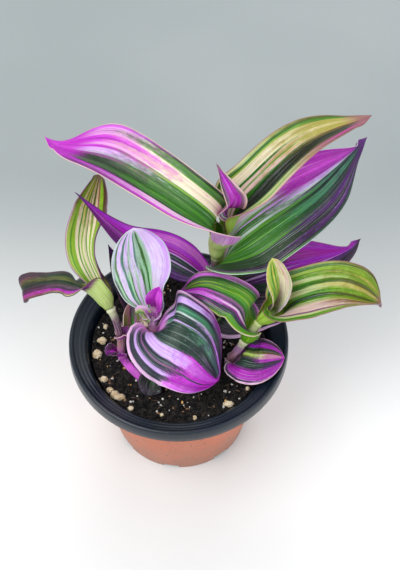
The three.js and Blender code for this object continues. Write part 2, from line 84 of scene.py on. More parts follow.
# Shader nodes written as expressions

palette = {  # sRGB
    "white": (0.97, 0.95, 0.98), "silver": (0.82, 0.88, 0.87), "cream": (0.95, 0.91, 0.80),
    "creamPink": (0.93, 0.82, 0.80), "creamGreen": (0.80, 0.85, 0.62), "yellow": (0.86, 0.86, 0.46),
    "paleLime": (0.72, 0.83, 0.42), "lime": (0.6, 0.77, 0.16), "leaf": (0.37, 0.64, 0.08),
    "green": (0.22, 0.5, 0.06), "dark": (0.09, 0.28, 0.06), "darkest": (0.05, 0.12, 0.06),
    "olive": (0.42, 0.47, 0.14), "teal": (0.29, 0.58, 0.43), "tealDark": (0.08, 0.26, 0.2),
    "slate": (0.2, 0.24, 0.3), "slateGreen": (0.27, 0.35, 0.33), "slatePurple": (0.28, 0.22, 0.36),
    "lilac": (0.86, 0.72, 0.96), "lilacWhite": (0.93, 0.87, 0.98), "pinkPale": (0.94, 0.78, 0.92),
    "pink": (0.9, 0.5, 0.93), "hotPink": (0.87, 0.27, 0.88), "magenta": (0.76, 0.04, 0.78),
    "magentaDeep": (0.52, 0.02, 0.54), "violet": (0.76, 0.14, 0.88), "violetDark": (0.38, 0.05, 0.5),
    "purpleDark": (0.18, 0.07, 0.23), "plum": (0.35, 0.12, 0.36), "mauve": (0.60, 0.42, 0.58),
    "brown": (0.40, 0.27, 0.22), "brownPurple": (0.34, 0.21, 0.28), "brownPink": (0.64, 0.44, 0.46),
    "mist": (0.7, 0.87, 0.72), "straw": (0.82, 0.80, 0.50), "charcoal": (0.05, 0.105, 0.16),
    # the near-black at the end of this line is painted shadow, used on the low leaf at the front stem's foot
    "terracotta": (0.78, 0.43, 0.3), "black": (0.02, 0.02, 0.03),
}


def linear(colour):
    if isinstance(colour, str):
        colour = palette[colour]
    return tuple(c / 12.92 if c <= 0.04045 else ((c + 0.055) / 1.055) ** 2.4 for c in colour) + (1.0,)


class Value:  # one output of a node; arithmetic on it adds Math nodes
    def __init__(self, paint, socket):
        self.paint = paint
        self.socket = socket

    def maths(self, operation, *others):
        inputs = {0: self, **{i + 1: other for i, other in enumerate(others)}}
        return self.paint.node("ShaderNodeMath", {"operation": operation}, inputs)

    def flipped(self, operation, other):
        return self.paint.node("ShaderNodeMath", {"operation": operation}, {0: other, 1: self})

    def __add__(self, other):
        return self.maths("ADD", other)

    def __radd__(self, other):
        return self.flipped("ADD", other)

    def __sub__(self, other):
        return self.maths("SUBTRACT", other)

    def __rsub__(self, other):
        return self.flipped("SUBTRACT", other)

    def __mul__(self, other):
        return self.maths("MULTIPLY", other)

    def __rmul__(self, other):
        return self.flipped("MULTIPLY", other)


class Paint:  # one material and its nodes
    def __init__(self, name):
        self.material = bpy.data.materials.new(name)
        self.material.use_nodes = True
        self.tree = self.material.node_tree
        self.shader = self.tree.nodes["Principled BSDF"]

    def node(self, kind, settings=None, inputs=None, output=0):
        made = self.tree.nodes.new(kind)
        for key, value in (settings or {}).items():
            if key == "stops":
                ramp = made.color_ramp
                while len(ramp.elements) < len(value):
                    ramp.elements.new(0.5)
                for element, (place, colour) in zip(ramp.elements, value):
                    element.position = place
                    element.color = linear(colour)
            else:
                setattr(made, key, value)
        for key, value in (inputs or {}).items():
            self.feed(made.inputs[key], value)
        return Value(self, made.outputs[output])

    def feed(self, socket, value):
        if isinstance(value, Value):
            self.tree.links.new(value.socket, socket)
        elif isinstance(value, str):
            socket.default_value = linear(value)
        else:
            socket.default_value = value

    def mix(self, factor, a, b, blend="MIX"):
        settings = {"data_type": "RGBA", "blend_type": blend, "clamp_factor": True}
        return self.node("ShaderNodeMix", settings, {0: factor, 6: a, 7: b}, 2)

    def between(self, value, low, high, start=0.0, end=1.0):  # smooth step of a value
        inputs = {0: value, 1: low, 2: high, 3: start, 4: end}
        return self.node("ShaderNodeMapRange", {"interpolation_type": "SMOOTHSTEP"}, inputs)

    def vector(self, x, y, z=0.0):
        return self.node("ShaderNodeCombineXYZ", {}, {0: x, 1: y, 2: z})

    def parts(self, vector):
        split = self.node("ShaderNodeSeparateXYZ", {}, {0: vector}).socket.node
        return [Value(self, socket) for socket in split.outputs]

    def grain(self, vector, scale=1.0, detail=2.0, rough=0.5):
        inputs = {"Vector": vector, "Scale": scale, "Detail": detail, "Roughness": rough}
        return self.node("ShaderNodeTexNoise", {}, inputs)

    def place(self):
        return self.node("ShaderNodeTexCoord", {}, {}, "Object")

    def map(self, name):
        return self.parts(self.node("ShaderNodeUVMap", {"uv_map": name}))[:2]

    def bump(self, height, distance, strength=1.0):
        return self.node("ShaderNodeBump", {}, {"Height": height, "Distance": distance, "Strength": strength})

    def finish(self, **sockets):
        for key, value in sockets.items():
            name = {"colour": "Base Color", "normal": "Normal", "rough": "Roughness", "coat": "Coat Weight",
                    "coatRough": "Coat Roughness", "specular": "Specular IOR Level",
                    "glow": "Subsurface Weight", "glowScale": "Subsurface Scale"}[key]
            self.feed(self.shader.inputs[name], value)
        return self.material


def makePiece(name, points, faces, materials, slots=None, uv=None, smoothShade=True):
    mesh = bpy.data.meshes.new(name)
    mesh.from_pydata([tuple(p) for p in np.asarray(points) * mm], [], faces)
    for material in materials:
        mesh.materials.append(material)
    if slots is not None:
        mesh.polygons.foreach_set("material_index", slots)
    if uv is not None:
        layer = mesh.uv_layers.new(name="leafMap")
        corner = np.zeros(len(mesh.loops), int)
        mesh.loops.foreach_get("vertex_index", corner)
        layer.data.foreach_set("uv", np.asarray(uv, np.float32)[corner].ravel())
    if smoothShade:
        mesh.polygons.foreach_set("use_smooth", [True] * len(mesh.polygons))
    mesh.update()
    piece = bpy.data.objects.new(name, mesh)
    bpy.context.scene.collection.objects.link(piece)
    return piece


def ringFaces(low, high, count):
    return [(low + k, low + (k + 1) % count, high + (k + 1) % count, high + k) for k in range(count)]


def settle(piece, nodes):
    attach(piece, "root")
    if nodes:
        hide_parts(*nodes)


# Camera, light and floor

view = {
    "target": (0.0106, 0.020, 0.090),
    "distance": 0.450,
    "elevation": 53.4,
    "focalPixels": 905,
    "frameHeight": 570,
    "sensor": 36,  # in millimetres, as the camera takes it
}
lamps = {
    "key": {"place": (-0.55, -0.35, 0.95), "size": 0.7, "watts": 8.0, "colour": (1.0, 0.99, 0.97)},
    "fill": {"place": (0.8, -0.5, 0.7), "size": 0.9, "watts": 3.5, "colour": (0.96, 0.98, 1.0)},
    "back": {"place": (0.1, 0.85, 0.75), "size": 0.8, "watts": 4.5, "colour": (0.98, 0.99, 1.0)},
}


def makeCamera():
    up = math.radians(view["elevation"])
    target = Vector(view["target"])
    camera = bpy.data.objects.new("camera", bpy.data.cameras.new("camera"))
    camera.data.sensor_width = view["sensor"]
    camera.data.lens = view["focalPixels"] / view["frameHeight"] * view["sensor"]
    camera.data.clip_start = 0.01
    camera.location = target - Vector((0, math.cos(up), -math.sin(up))) * view["distance"]
    camera.rotation_euler = (math.pi / 2 - up, 0, 0)
    bpy.context.scene.collection.objects.link(camera)
    bpy.context.scene.camera = camera


def makeLights():
    for name, lamp in lamps.items():
        light = bpy.data.lights.new(name, "AREA")
        light.size = lamp["size"]
        light.energy = lamp["watts"]
        light.color = lamp["colour"]
        holder = bpy.data.objects.new(name, light)
        holder.location = lamp["place"]
        aim = Vector(view["target"]) - holder.location
        holder.rotation_euler = aim.to_track_quat("-Z", "Y").to_euler()
        bpy.context.scene.collection.objects.link(holder)
    world = bpy.data.worlds.new("studio")
    world.use_nodes = True
    sky = world.node_tree.nodes["Background"]
    sky.inputs["Color"].default_value = (0.93, 0.96, 1.0, 1.0)
    sky.inputs["Strength"].default_value = 0.74
    bpy.context.scene.world = world
    bpy.context.scene.view_settings.view_transform = "Standard"


def makeFloor():
    paint = Paint("floorPaper")
    place = paint.place()
    # painted shade: the floor's colour darkens from near to far, where the light falls off towards the back
    far = paint.between(paint.parts(place)[1], -0.03, 0.19)
    cloud = paint.grain(place, 3.0, 3.0)
    shade = paint.mix(far, (0.80, 0.80, 0.79, 1.0), (0.29, 0.32, 0.32, 1.0))
    shade = paint.mix(paint.between(cloud, 0.4, 0.7, 0.0, 0.2), shade, (0.55, 0.57, 0.58, 1.0))
    material = paint.finish(colour=shade, rough=0.6, specular=0.2)
    reach = 3000
    corners = [(-reach, -reach, 0), (reach, -reach, 0), (reach, reach, 0), (-reach, reach, 0)]
    makePiece("floor", corners, [(0, 1, 2, 3)], [material], smoothShade=False)


# Stems

stems = {
    "main": {
        "points": [(19, 16, 45), (18, 17, 63), (17, 18.5, 80), (17.5, 19.5, 96), (18, 20.3, 110),
                   (19.5, 22, 122.5), (21.8, 24, 132)],
        "end": 83, "nodes": [37, 46, 56, 68],
        "bands": [("brownPurple", 0.3), ("mauve", 0.42), ("brownPurple", 0.62), ("brownPurple", 0.8),
                  ("lime", 1)],
    },
    "left": {
        "points": [(-4, -30, 52), (-14, -23.5, 64), (-27.5, -11, 72), (-28, -6, 82), (-30, -2.5, 93),
                   (-35, 3.5, 103), (-38, 8, 111)],
        "end": 78, "nodes": [39, 50, 67],
        "bands": [("magentaDeep", 0.22), ("magenta", 0.34), ("hotPink", 0.44), ("magenta", 0.52),
                  ("brownPink", 0.66), ("brownPurple", 0.8), ("creamGreen", 1)],
    },
    "front": {
        "points": [(-5, -24, 45), (-7, -19, 63), (-10, -13, 82), (-12, -9, 98), (-11, -3, 104)],
        "end": 60, "nodes": [38, 49, 58],
        "bands": [("brownPurple", 0.4), ("plum", 0.62), ("pink", 0.8), ("brownPink", 0.9), ("mauve", 1)],
    },
    "right": {
        "points": [(20, -9, 45), (24.7, -8.5, 63), (31, -7.5, 78), (38.5, -3, 90), (46.5, -0.5, 100)],
        "end": 57.5, "nodes": [38.5, 51.5],
        "bands": [("brownPurple", 0.35), ("brownPink", 0.5), ("mauve", 0.6), ("creamGreen", 0.8),
                  ("paleLime", 1)],
    },
}
stemShape = {"radius": 2.0, "ring": 0.45, "ringWidth": 0.7, "ringBelow": 1.7, "taper": 0.35, "taperOver": 12,
             "swell": 0.12, "dome": 1.5, "domeRadius": 1.6, "sides": 20, "step": 0.6}


def bandStops(bands, low, high, soft):  # (colour, where it ends) to ramp stops with soft borders
    stops = [(0.0, bands[0][0])]
    for (colour, end), (following, _) in zip(bands, bands[1:]):
        place = (end - low) / (high - low)
        stops += [(place - soft, colour), (place + soft, following)]
    stops = [(min(max(place, 0.0), 1.0), colour) for place, colour in stops]
    return stops[:31] + [(1.0, bands[-1][0])]  # a ramp holds 32 stops


def stemPaint(name, bands):
    paint = Paint("stemSkin" + name)
    around, along = paint.map("leafMap")
    blotch = paint.grain(paint.place(), 260, 3)
    colour = paint.node("ShaderNodeValToRGB", {"stops": bandStops(bands, 0, 1, 0.035)},
                        {0: along + (blotch - 0.5) * 0.12})
    streak = paint.grain(paint.vector(around * 26, along * 9), 1.0, 3)
    colour = paint.mix(paint.between(streak, 0.42, 0.66, 0.0, 0.45), colour, "pinkPale")
    colour = paint.mix(paint.between(blotch, 0.5, 0.75, 0.0, 0.4), colour, "plum", "MULTIPLY")
    ribs = paint.grain(paint.vector(around * 40, along * 3), 1.0, 1)
    return paint.finish(colour=colour, rough=0.42 + 0.16 * streak, normal=paint.bump(ribs, 0.0003),
                        glow=0.12, glowScale=0.004)


def makeStem(name, stem):
    path = stem["path"]
    sides = stemShape["sides"]
    stations = np.arange(0, stem["end"] + 0.01, stemShape["step"])
    points, uv = [], []
    for s in stations:
        along = path.along(s)
        a = unit(np.cross(along, (0, 1, 0.2)))
        b = np.cross(along, a)
        rings = max(math.exp(-((s - n + stemShape["ringBelow"]) / stemShape["ringWidth"]) ** 2)
                    for n in stem["nodes"])
        thinner = smooth(stem["end"] - stemShape["taperOver"], stem["end"], s)
        swell = stemShape["swell"] * (0.5 + 0.5 * math.sin(s * 0.55)) * (1 - rings)
        radius = stemShape["radius"] - stemShape["taper"] * thinner + stemShape["ring"] * rings - swell
        past = s - stem["end"] + stemShape["dome"]
        if past > 0:
            radius = radius * math.sqrt(max(1 - (past / stemShape["domeRadius"]) ** 2, 0.02))
        for k in range(sides):
            turn = 2 * math.pi * k / sides
            points.append(path.point(s) + radius * (a * math.cos(turn) + b * math.sin(turn)))
            uv.append((abs(2 * k / sides - 1), s / stem["end"]))
    faces = []
    for i in range(len(stations) - 1):
        faces += ringFaces(i * sides, (i + 1) * sides, sides)
    faces.append(tuple(range(sides))[::-1])
    faces.append(tuple((len(stations) - 1) * sides + k for k in range(sides)))
    piece = makePiece("stem" + name.capitalize(), points, faces, [stemPaint(name, stem["bands"])], uv=uv)
    settle(piece, ["stem_" + name])


# Leaves. v runs across the blade from -1 to 1 and w along it from 0 to 1; below 0 is the sheath

leafBasics = {
    "ring": 3, "flare": 1.3, "wrap": (166, 140), "opens": 0.2, "curls": 0, "turn": 0.3, "lobe": (0, 0),
    "round": 2, "waveL": (0, 0), "waveR": (0, 0), "crinkle": 0.35, "lines": 0.4,
    "tip": "magenta", "tipFrom": 0.86, "rim": "pinkPale", "rimWidth": 0.03, "change": (0.35, 0.75),
    "under": "plum", "underDark": "plum", "underMix": 0.8, "sheathTones": ("creamGreen", "leaf"),
    "sheathTo": (0.0, 0.07), "blush": ("pink", 0.5, 1.1, 0.4),
}
blade = {"middle": 0.62, "margin": 0.36, "groove": 0.35, "grooveWidth": 1.0, "pleat": 0.07, "pleats": 9,
         "rowGap": 1.1, "columns": 36, "sheathRows": 10, "flatTip": 6, "tipHalf": 0.5, "foldPerMm": 0.4,
         "crowd": 0.35, "sheathFoot": 2.15, "lobeRows": 20, "lobePasses": 14}

# The shapes are the part's own. For 15 of the 20 leaves mid, width, widest, point, fold, curl and wave
# came from a least-squares fit to lines read off the photo, and some were changed after it.
leaves = {
    "main_left": {
        "stem": "main", "node": 68, "sheath": 8, "side": 212, "flare": 1.5, "wrap": (166, 105),
        "opens": 0.15, "turn": 0.35,
        "mid": [(14.5, 11.5, 144), (-27.5, 38, 155), (-56, 55.5, 150), (-62.3, 60, 152.5)],
        "face": [(-0.1, -0.45, 0.9), (0.1, -0.3, 0.95)], "width": 37.5, "widest": 0.65, "point": 1.3,
        "foldL": (44, 37), "curlL": (29, 27), "foldR": (17, 6), "curlR": (8, -1), "waveL": (0.6, 0.2),
        "waveR": (0.4, -2),
        "near": [("plum", -0.92), ("hotPink", -0.72), ("pinkPale", -0.46), ("dark", -0.36), ("green", -0.2),
                 ("leaf", -0.17), ("green", 0.1), ("leaf", 0.13), ("green", 0.34), ("lime", 0.37),
                 ("leaf", 0.4), ("cream", 0.74), ("leaf", 0.77), ("green", 0.87), ("leaf", 0.9),
                 ("dark", 1)],
        "far": [("magentaDeep", -0.6), ("magenta", -0.42), ("dark", -0.3), ("green", -0.1), ("dark", 0.12),
                ("mauve", 0.18), ("silver", 0.24), ("lilacWhite", 0.34), ("hotPink", 0.4),
                ("pinkPale", 0.48), ("hotPink", 0.56), ("magenta", 0.62), ("hotPink", 0.7),
                ("pinkPale", 0.9), ("pink", 0.97), ("plum", 1)],
        "change": (0.38, 0.74), "tipFrom": 0.76, "under": "pinkPale", "rim": "creamPink", "rimWidth": 0.02,
        "sheathTones": ("creamGreen", "paleLime"), "blush": ("pink", 0.4, 0.62, 0.45), "underDark": "pink",
        "sheathTo": (0.06, 0.1), "lines": 0.2,
    },
    "main_top": {
        "stem": "main", "node": 79.5, "sheath": 4, "side": 20, "ring": 2.9, "flare": 1.1, "wrap": (75, 75),
        "opens": 0.15, "turn": 0.35, "mid": [(37.5, 31, 146.5), (58, 43, 162.5), (89, 60.5, 165.5)],
        "face": [(0.1, -0.5, 0.85), (0.2, -0.3, 0.9)], "width": 35, "widest": 0.2, "point": 1,
        "foldL": (18, -3), "curlL": (17, -7), "foldR": (48, 39), "curlR": (40, 26), "waveL": (0.6, -0.2),
        "waveR": (0.9, 0.1),
        "near": [("creamGreen", -0.92), ("green", -0.82), ("paleLime", -0.76), ("cream", -0.5),
                 ("green", -0.44), ("creamPink", -0.34), ("leaf", -0.3), ("creamPink", -0.2),
                 ("green", -0.12), ("dark", -0.06), ("darkest", 0.36), ("green", 0.42), ("creamGreen", 0.56),
                 ("leaf", 0.61), ("creamGreen", 0.78), ("creamPink", 1)],
        "far": [("olive", -0.88), ("leaf", -0.76), ("straw", -0.5), ("cream", -0.42), ("straw", -0.16),
                ("brownPink", -0.1), ("olive", -0.04), ("darkest", 0.3), ("olive", 0.36), ("plum", 0.44),
                ("hotPink", 0.72), ("magentaDeep", 0.9), ("brownPink", 1)],
        "tip": "brownPink", "tipFrom": 0.82, "under": "hotPink", "rim": "brownPink", "rimWidth": 0.02,
        "blush": ("straw", 0.3, 0.7, 0.7), "sheathTo": (0.14, 0.3), "sheathTones": ("paleLime", "lime"),
    },
    "main_right": {
        "stem": "main", "node": 56, "sheath": 6, "side": -20, "wrap": (166, 100), "opens": 0.15,
        "turn": 0.25, "mid": [(28, 19.5, 123.5), (64, 38.5, 142), (91.5, 70.5, 142)],
        "face": [(0, -0.5, 0.85), (0.2, -0.4, 0.9)], "width": 44, "widest": 0.28, "point": 1.15,
        "foldL": (-8, 72), "curlL": (-21, 48), "foldR": (19, -11), "curlR": (7, -20), "waveL": (0.8, -0.2),
        "waveR": (0.6, 0.2),
        "near": [("creamPink", -0.84), ("cream", -0.7), ("pinkPale", -0.36), ("silver", -0.28),
                 ("leaf", -0.24), ("lilac", -0.2), ("green", -0.06), ("silver", 0), ("leaf", 0.08),
                 ("green", 0.24), ("leaf", 0.29), ("green", 0.5), ("leaf", 0.54), ("dark", 0.84),
                 ("purpleDark", 0.965), ("leaf", 1)],
        "far": [("magenta", -0.62), ("hotPink", -0.4), ("magenta", -0.2), ("lilac", -0.1), ("silver", -0.05),
                ("slate", 0), ("teal", 0.08), ("tealDark", 0.16), ("teal", 0.34), ("tealDark", 0.46),
                ("slatePurple", 0.54), ("violetDark", 0.66), ("purpleDark", 0.78), ("violetDark", 0.9),
                ("tealDark", 0.98), ("slateGreen", 1)],
        "change": (0.3, 0.62), "tip": "violetDark", "tipFrom": 0.84, "rim": "silver", "under": "magentaDeep",
        "sheathTones": ("paleLime", "leaf"), "rimWidth": 0.008, "sheathTo": (0.05, 0.17),
        "blush": ("magenta", 0.55, 0.95, 0.4),
    },
    "main_young": {
        "stem": "main", "node": 83.8, "sheath": 9, "side": 200, "ring": 2, "flare": 1.1, "wrap": (85, 85),
        "mid": [(25, 16.7, 156.4), (23, 15.1, 165.2), (17.5, 21, 175)],
        "face": [(0.1, -0.9, 0.3), (0.3, -0.8, 0.3)], "width": 13.5, "widest": 0.35, "point": 1.4,
        "foldL": (35, 45), "curlL": (10, 20), "foldR": (-5, 5), "curlR": (15, 15),
        "near": [("mauve", -0.82), ("silver", -0.66), ("green", -0.58), ("pink", -0.44), ("plum", -0.34),
                 ("hotPink", -0.05), ("magenta", 0.15), ("pink", 0.3), ("magenta", 0.6), ("mauve", 0.85),
                 ("creamPink", 1)],
        "far": [("plum", -0.7), ("mauve", -0.5), ("magenta", -0.1), ("pink", 0.2), ("magenta", 0.6),
                ("mauve", 0.8), ("creamPink", 1)],
        "tip": "brownPink", "rim": "creamPink", "rimWidth": 0.06, "under": "magenta",
        "sheathTones": ("paleLime", "lime"),
    },
    "main_low_left": {
        "stem": "main", "node": 46, "sheath": 3, "side": 170, "wrap": (166, 80),
        "mid": [(-1, 23.4, 107.9), (-24.5, 28, 118), (-47.1, 34.5, 142.3)],
        "face": [(-0.1, -0.45, 0.9), (0.1, -0.4, 0.9)], "width": 20, "widest": 0.24, "point": 1.75,
        "foldL": (-4, 10), "curlL": (11, 1), "foldR": (12, 23), "curlR": (9, 13), "waveL": (0.5, -0.2),
        "waveR": (-1.6, 0.7),
        "near": [("violetDark", -0.6), ("slate", -0.25), ("lilac", -0.2), ("slate", -0.04),
                 ("tealDark", 0.04), ("lilac", 0.1), ("magenta", 0.3), ("violet", 0.5), ("pink", 0.86),
                 ("violet", 1)],
        "far": [("magentaDeep", -0.4), ("magenta", -0.1), ("pinkPale", -0.03), ("magentaDeep", 0.15),
                ("magenta", 0.5), ("violet", 0.8), ("magentaDeep", 1)],
        "tip": "violetDark", "rim": "violetDark", "under": "magentaDeep", "blush": ("violet", 0.3, 0.7, 0.4),
    },
    "main_low_right": {
        "stem": "main", "node": 37, "sheath": 3, "side": 10, "wrap": (166, 80),
        "mid": [(46.5, 21, 97.5), (84.5, 36, 98.5), (91.5, 42, 99.5)],
        "face": [(0.1, -0.4, 0.9), (0.1, -0.4, 0.9)], "width": 31, "widest": 0.46, "point": 1.2,
        "foldL": (21, 66), "curlL": (11, 51), "foldR": (10, 14), "curlR": (5, 4), "waveL": (0.3, 0),
        "near": [("tealDark", -0.6), ("green", -0.3), ("slatePurple", -0.1), ("lilac", -0.03),
                 ("violetDark", 0.2), ("tealDark", 0.5), ("purpleDark", 1)],
        "far": [("violet", -0.6), ("magenta", -0.25), ("violet", 0), ("magenta", 0.1), ("lilac", 0.16),
                ("violetDark", 0.36), ("purpleDark", 1)],
        "tip": "purpleDark", "tipFrom": 0.9, "rim": "mauve", "under": "magentaDeep", "change": (0.3, 0.6),
    },
    "main_basal": {
        "stem": "main", "node": 20, "sheath": 3, "side": -20, "wrap": (166, 75),
        "mid": [(26, 9, 74), (44.5, 7.5, 80), (53.5, 8, 76.5)], "face": [(0, -0.2, 0.95), (0.2, -0.2, 0.95)],
        "width": 23, "widest": 0.29, "point": 1.05, "foldL": (5, 4), "curlL": (0, -1), "foldR": (15, 11),
        "curlR": (9, 5), "waveR": (0.1, 0.3),
        "near": [("tealDark", -0.5), ("green", -0.2), ("mauve", -0.1), ("tealDark", 0.3),
                 ("purpleDark", 0.8), ("pinkPale", 1)],
        "far": [("purpleDark", -0.4), ("plum", 0.0), ("tealDark", 0.4), ("purpleDark", 0.8),
                ("pinkPale", 1)],
        "tip": "plum",
    },
    "left_upright": {
        "stem": "left", "node": 73, "sheath": 4, "side": 100, "ring": 2.7, "flare": 1.1, "wrap": (166, 120),
        "opens": 0.25, "turn": 0.2, "mid": [(-42.5, 19.5, 114), (-43.5, 45, 115.5), (-39.7, 64, 122.8)],
        "face": [(0.1, -0.9, 0.35), (0.1, -0.9, 0.3)], "width": 26, "widest": 0.53, "point": 0.7,
        "foldL": (25, 32), "curlL": (24, 37), "foldR": (41, 40), "curlR": (43, 30), "waveR": (-0.1, 0.5),
        "near": [("creamPink", -0.95), ("paleLime", -0.78), ("leaf", -0.72), ("lime", -0.56),
                 ("cream", -0.42), ("leaf", -0.36), ("cream", -0.26), ("lime", -0.2), ("cream", -0.05),
                 ("leaf", 0.02), ("cream", 0.14), ("lime", 0.24), ("cream", 0.36), ("lime", 0.6),
                 ("olive", 0.82), ("brownPurple", 1)],
        "far": [("olive", -0.84), ("lime", -0.6), ("cream", -0.44), ("leaf", -0.36), ("yellow", -0.24),
                ("leaf", -0.16), ("cream", -0.07), ("olive", 0), ("cream", 0.11), ("olive", 0.22),
                ("creamPink", 0.34), ("brownPink", 0.44), ("lime", 0.7), ("brown", 1)],
        "tip": "brown", "tipFrom": 0.9, "rim": "mauve", "under": "brownPurple", "rimWidth": 0.018,
        "blush": ("straw", 0.5, 0.9, 0.6),
    },
    "left_drooping": {
        "stem": "left", "node": 67, "sheath": 11, "side": 190, "ring": 2.8, "flare": 2.3, "wrap": (166, 130),
        "opens": 0.15, "mid": [(-53.5, 6, 111.5), (-71, 0.5, 114), (-71, 2.5, 101.5)],
        "face": [(0, -0.2, 0.95), (-0.6, -0.2, 0.7)], "width": 15.5, "widest": 0.55, "point": 0.9,
        "foldL": (19, -5), "curlL": (9, -4), "foldR": (-21, 18), "curlR": (-26, 17), "waveL": (-0.2, 0.2),
        "waveR": (-0.2, 0),
        "near": [("creamGreen", -0.93), ("brownPink", -0.82), ("magenta", -0.6), ("plum", -0.4),
                 ("brownPurple", -0.2), ("dark", 0.1), ("olive", 0.4), ("dark", 0.7), ("brownPurple", 1)],
        "far": [("brownPink", -0.84), ("hotPink", -0.62), ("magentaDeep", -0.4), ("plum", -0.15),
                ("dark", 0.15), ("olive", 0.4), ("brownPink", 0.6), ("plum", 1)],
        "tip": "mauve", "tipFrom": 0.85, "rim": "brownPurple", "rimWidth": 0.04, "under": "magentaDeep",
        "sheathTones": ("creamGreen", "paleLime"), "blush": ("brownPink", 0.2, 0.6, 0.7),
    },
    "left_inner": {
        "stem": "left", "node": 50, "sheath": 3, "side": 0, "ring": 3.6, "wrap": (166, 60),
        "mid": [(-22.5, -4.5, 90.5), (-22, 0, 97), (-21.5, 3, 101)],
        "face": [(0.1, -0.8, 0.5), (0.1, -0.8, 0.5)], "width": 10, "widest": 0.4, "point": 1,
        "foldL": (25, 20), "curlL": (25, 10), "foldR": (25, 20), "curlR": (25, 10),
        "near": [("olive", -0.5), ("brownPink", -0.1), ("green", 0.3), ("mauve", 0.6), ("olive", 1)],
        "far": [("brownPink", -0.3), ("plum", 0.3), ("olive", 1)],
        "tip": "brownPink", "sheathTones": ("pink", "plum"), "rim": "creamPink",
    },
    "left_basal": {
        "stem": "left", "node": 39, "sheath": 3, "side": 215, "ring": 3.3, "flare": 1.2, "wrap": (130, 60),
        "mid": [(-32.4, -10.9, 78), (-33.7, -12.4, 78.6), (-34.9, -13.9, 77.8)],
        "face": [(0.1, -0.3, 0.9), (0.1, -0.3, 0.9)], "width": 7.5, "widest": 0.2, "point": 1,
        "foldL": (10, 10), "curlL": (20, 10), "foldR": (10, 10), "curlR": (20, 10),
        "near": [("plum", -0.4), ("magenta", 0.2), ("plum", 1)],
        "far": [("plum", 0), ("magentaDeep", 1)],
        "tip": "plum", "sheathTones": ("hotPink", "plum"),
    },
    "front_upright": {
        "stem": "front", "node": 58, "sheath": 3, "side": 90, "wrap": (166, 110),
        "mid": [(-14, 9, 113.5), (-16.5, 13, 126), (-19.5, 16, 138.5)],
        "face": [(0.1, -0.8, 0.6), (0, -0.9, 0.4)], "width": 33, "widest": 0.47, "point": 0.7,
        "foldL": (12, 0), "curlL": (13, 2), "foldR": (48, 1), "curlR": (40, 3), "waveL": (0.1, -0.1),
        "waveR": (0.3, 0),
        "near": [("slateGreen", -0.93), ("mist", -0.86), ("green", -0.82), ("lilacWhite", -0.64),
                 ("teal", -0.58), ("mist", -0.5), ("green", -0.46), ("lilacWhite", -0.36), ("mist", -0.3),
                 ("lilacWhite", -0.18), ("green", -0.12), ("mist", -0.02), ("green", 0.08), ("mist", 0.2),
                 ("lilacWhite", 0.62), ("lilac", 1)],
        "far": [("silver", -0.9), ("green", -0.84), ("lilacWhite", -0.68), ("teal", -0.6),
                ("lilacWhite", -0.48), ("mist", -0.4), ("lilacWhite", -0.26), ("teal", -0.2),
                ("mist", -0.05), ("green", 0.05), ("mist", 0.16), ("silver", 0.22), ("lilacWhite", 0.8),
                ("lilac", 1)],
        "tip": "lilacWhite", "tipFrom": 0.93, "rim": "silver", "under": "magenta",
        "sheathTones": ("pinkPale", "hotPink"), "blush": ("lilac", 0.3, 0.9, 0.4),
    },
    "front_heart": {
        "stem": "front", "node": 49, "sheath": 4, "side": -60, "wrap": (166, 100), "opens": 0.1,
        "curls": 0.25, "lobe": (0.7, 0.02), "round": 4.5,
        "mid": [(-3.8, -17.9, 103.8), (7.5, -23.6, 101), (19.5, -26.2, 75.7)],
        "face": [(0.24, -0.46, 0.85), (0.55, -0.52, 0.57)], "width": 47.5, "widest": 0.38, "point": 0.75,
        "foldL": (8, 4), "curlL": (-60, -43), "foldR": (-6, 11), "curlR": (-26, -17), "waveL": (-0.5, -0.5),
        "waveR": (0.1, -0.1),
        "near": [("pinkPale", -0.92), ("slate", -0.84), ("lilac", -0.7), ("slate", -0.6), ("teal", -0.46),
                 ("silver", -0.43), ("tealDark", -0.29), ("lilac", -0.26), ("tealDark", 0.22),
                 ("lilac", 0.45), ("slate", 0.56), ("mauve", 0.61), ("slate", 0.72), ("lilac", 0.79),
                 ("slate", 0.92), ("pinkPale", 1)],
        "far": [("pink", -0.93), ("magenta", -0.8), ("slatePurple", -0.64), ("slate", -0.44),
                ("lilac", -0.38), ("slate", -0.28), ("teal", -0.1), ("tealDark", 0.17), ("hotPink", 0.24),
                ("pink", 0.44), ("hotPink", 0.58), ("slatePurple", 0.62), ("hotPink", 0.72),
                ("magenta", 0.86), ("pink", 1)],
        "change": (0.3, 0.68), "tip": "hotPink", "tipFrom": 0.93, "under": "magentaDeep",
        "sheathTones": ("pinkPale", "hotPink"), "rimWidth": 0.035, "blush": ("pink", 0.35, 0.8, 0.7),
    },
    "front_young": {
        "stem": "front", "node": 60.8, "sheath": 2.5, "side": 60, "ring": 1.6, "flare": 1.2,
        "wrap": (100, 80), "mid": [(-10, -5.5, 114), (-9, -5, 118), (-8, -4, 121)],
        "face": [(-0.3, -0.8, 0.4), (-0.3, -0.8, 0.4)], "width": 9, "widest": 0.6, "point": 1,
        "foldL": (30, 20), "curlL": (20, 10), "foldR": (30, 20), "curlR": (20, 10),
        "near": [("magenta", 0), ("hotPink", 0.5), ("magenta", 1)],
        "far": [("magenta", 0), ("hotPink", 1)],
        "under": "magenta", "underMix": 0.5, "rim": "hotPink", "rimWidth": 0.05,
        "sheathTones": ("creamGreen", "pink"),
    },
    "front_back": {
        "stem": "front", "node": 38, "sheath": 3, "side": 120, "ring": 3.2, "wrap": (166, 70),
        "mid": [(-18, 3, 90), (-27, 17, 101), (-34, 29, 111)],
        "face": [(0.1, -0.5, 0.85), (0.1, -0.5, 0.85)], "width": 15, "widest": 0.4, "point": 1.2,
        "foldL": (20, 20), "curlL": (15, 10), "foldR": (20, 20), "curlR": (15, 10),
        "near": [("purpleDark", -0.3), ("violetDark", 0.1), ("slate", 0.3), ("purpleDark", 1)],
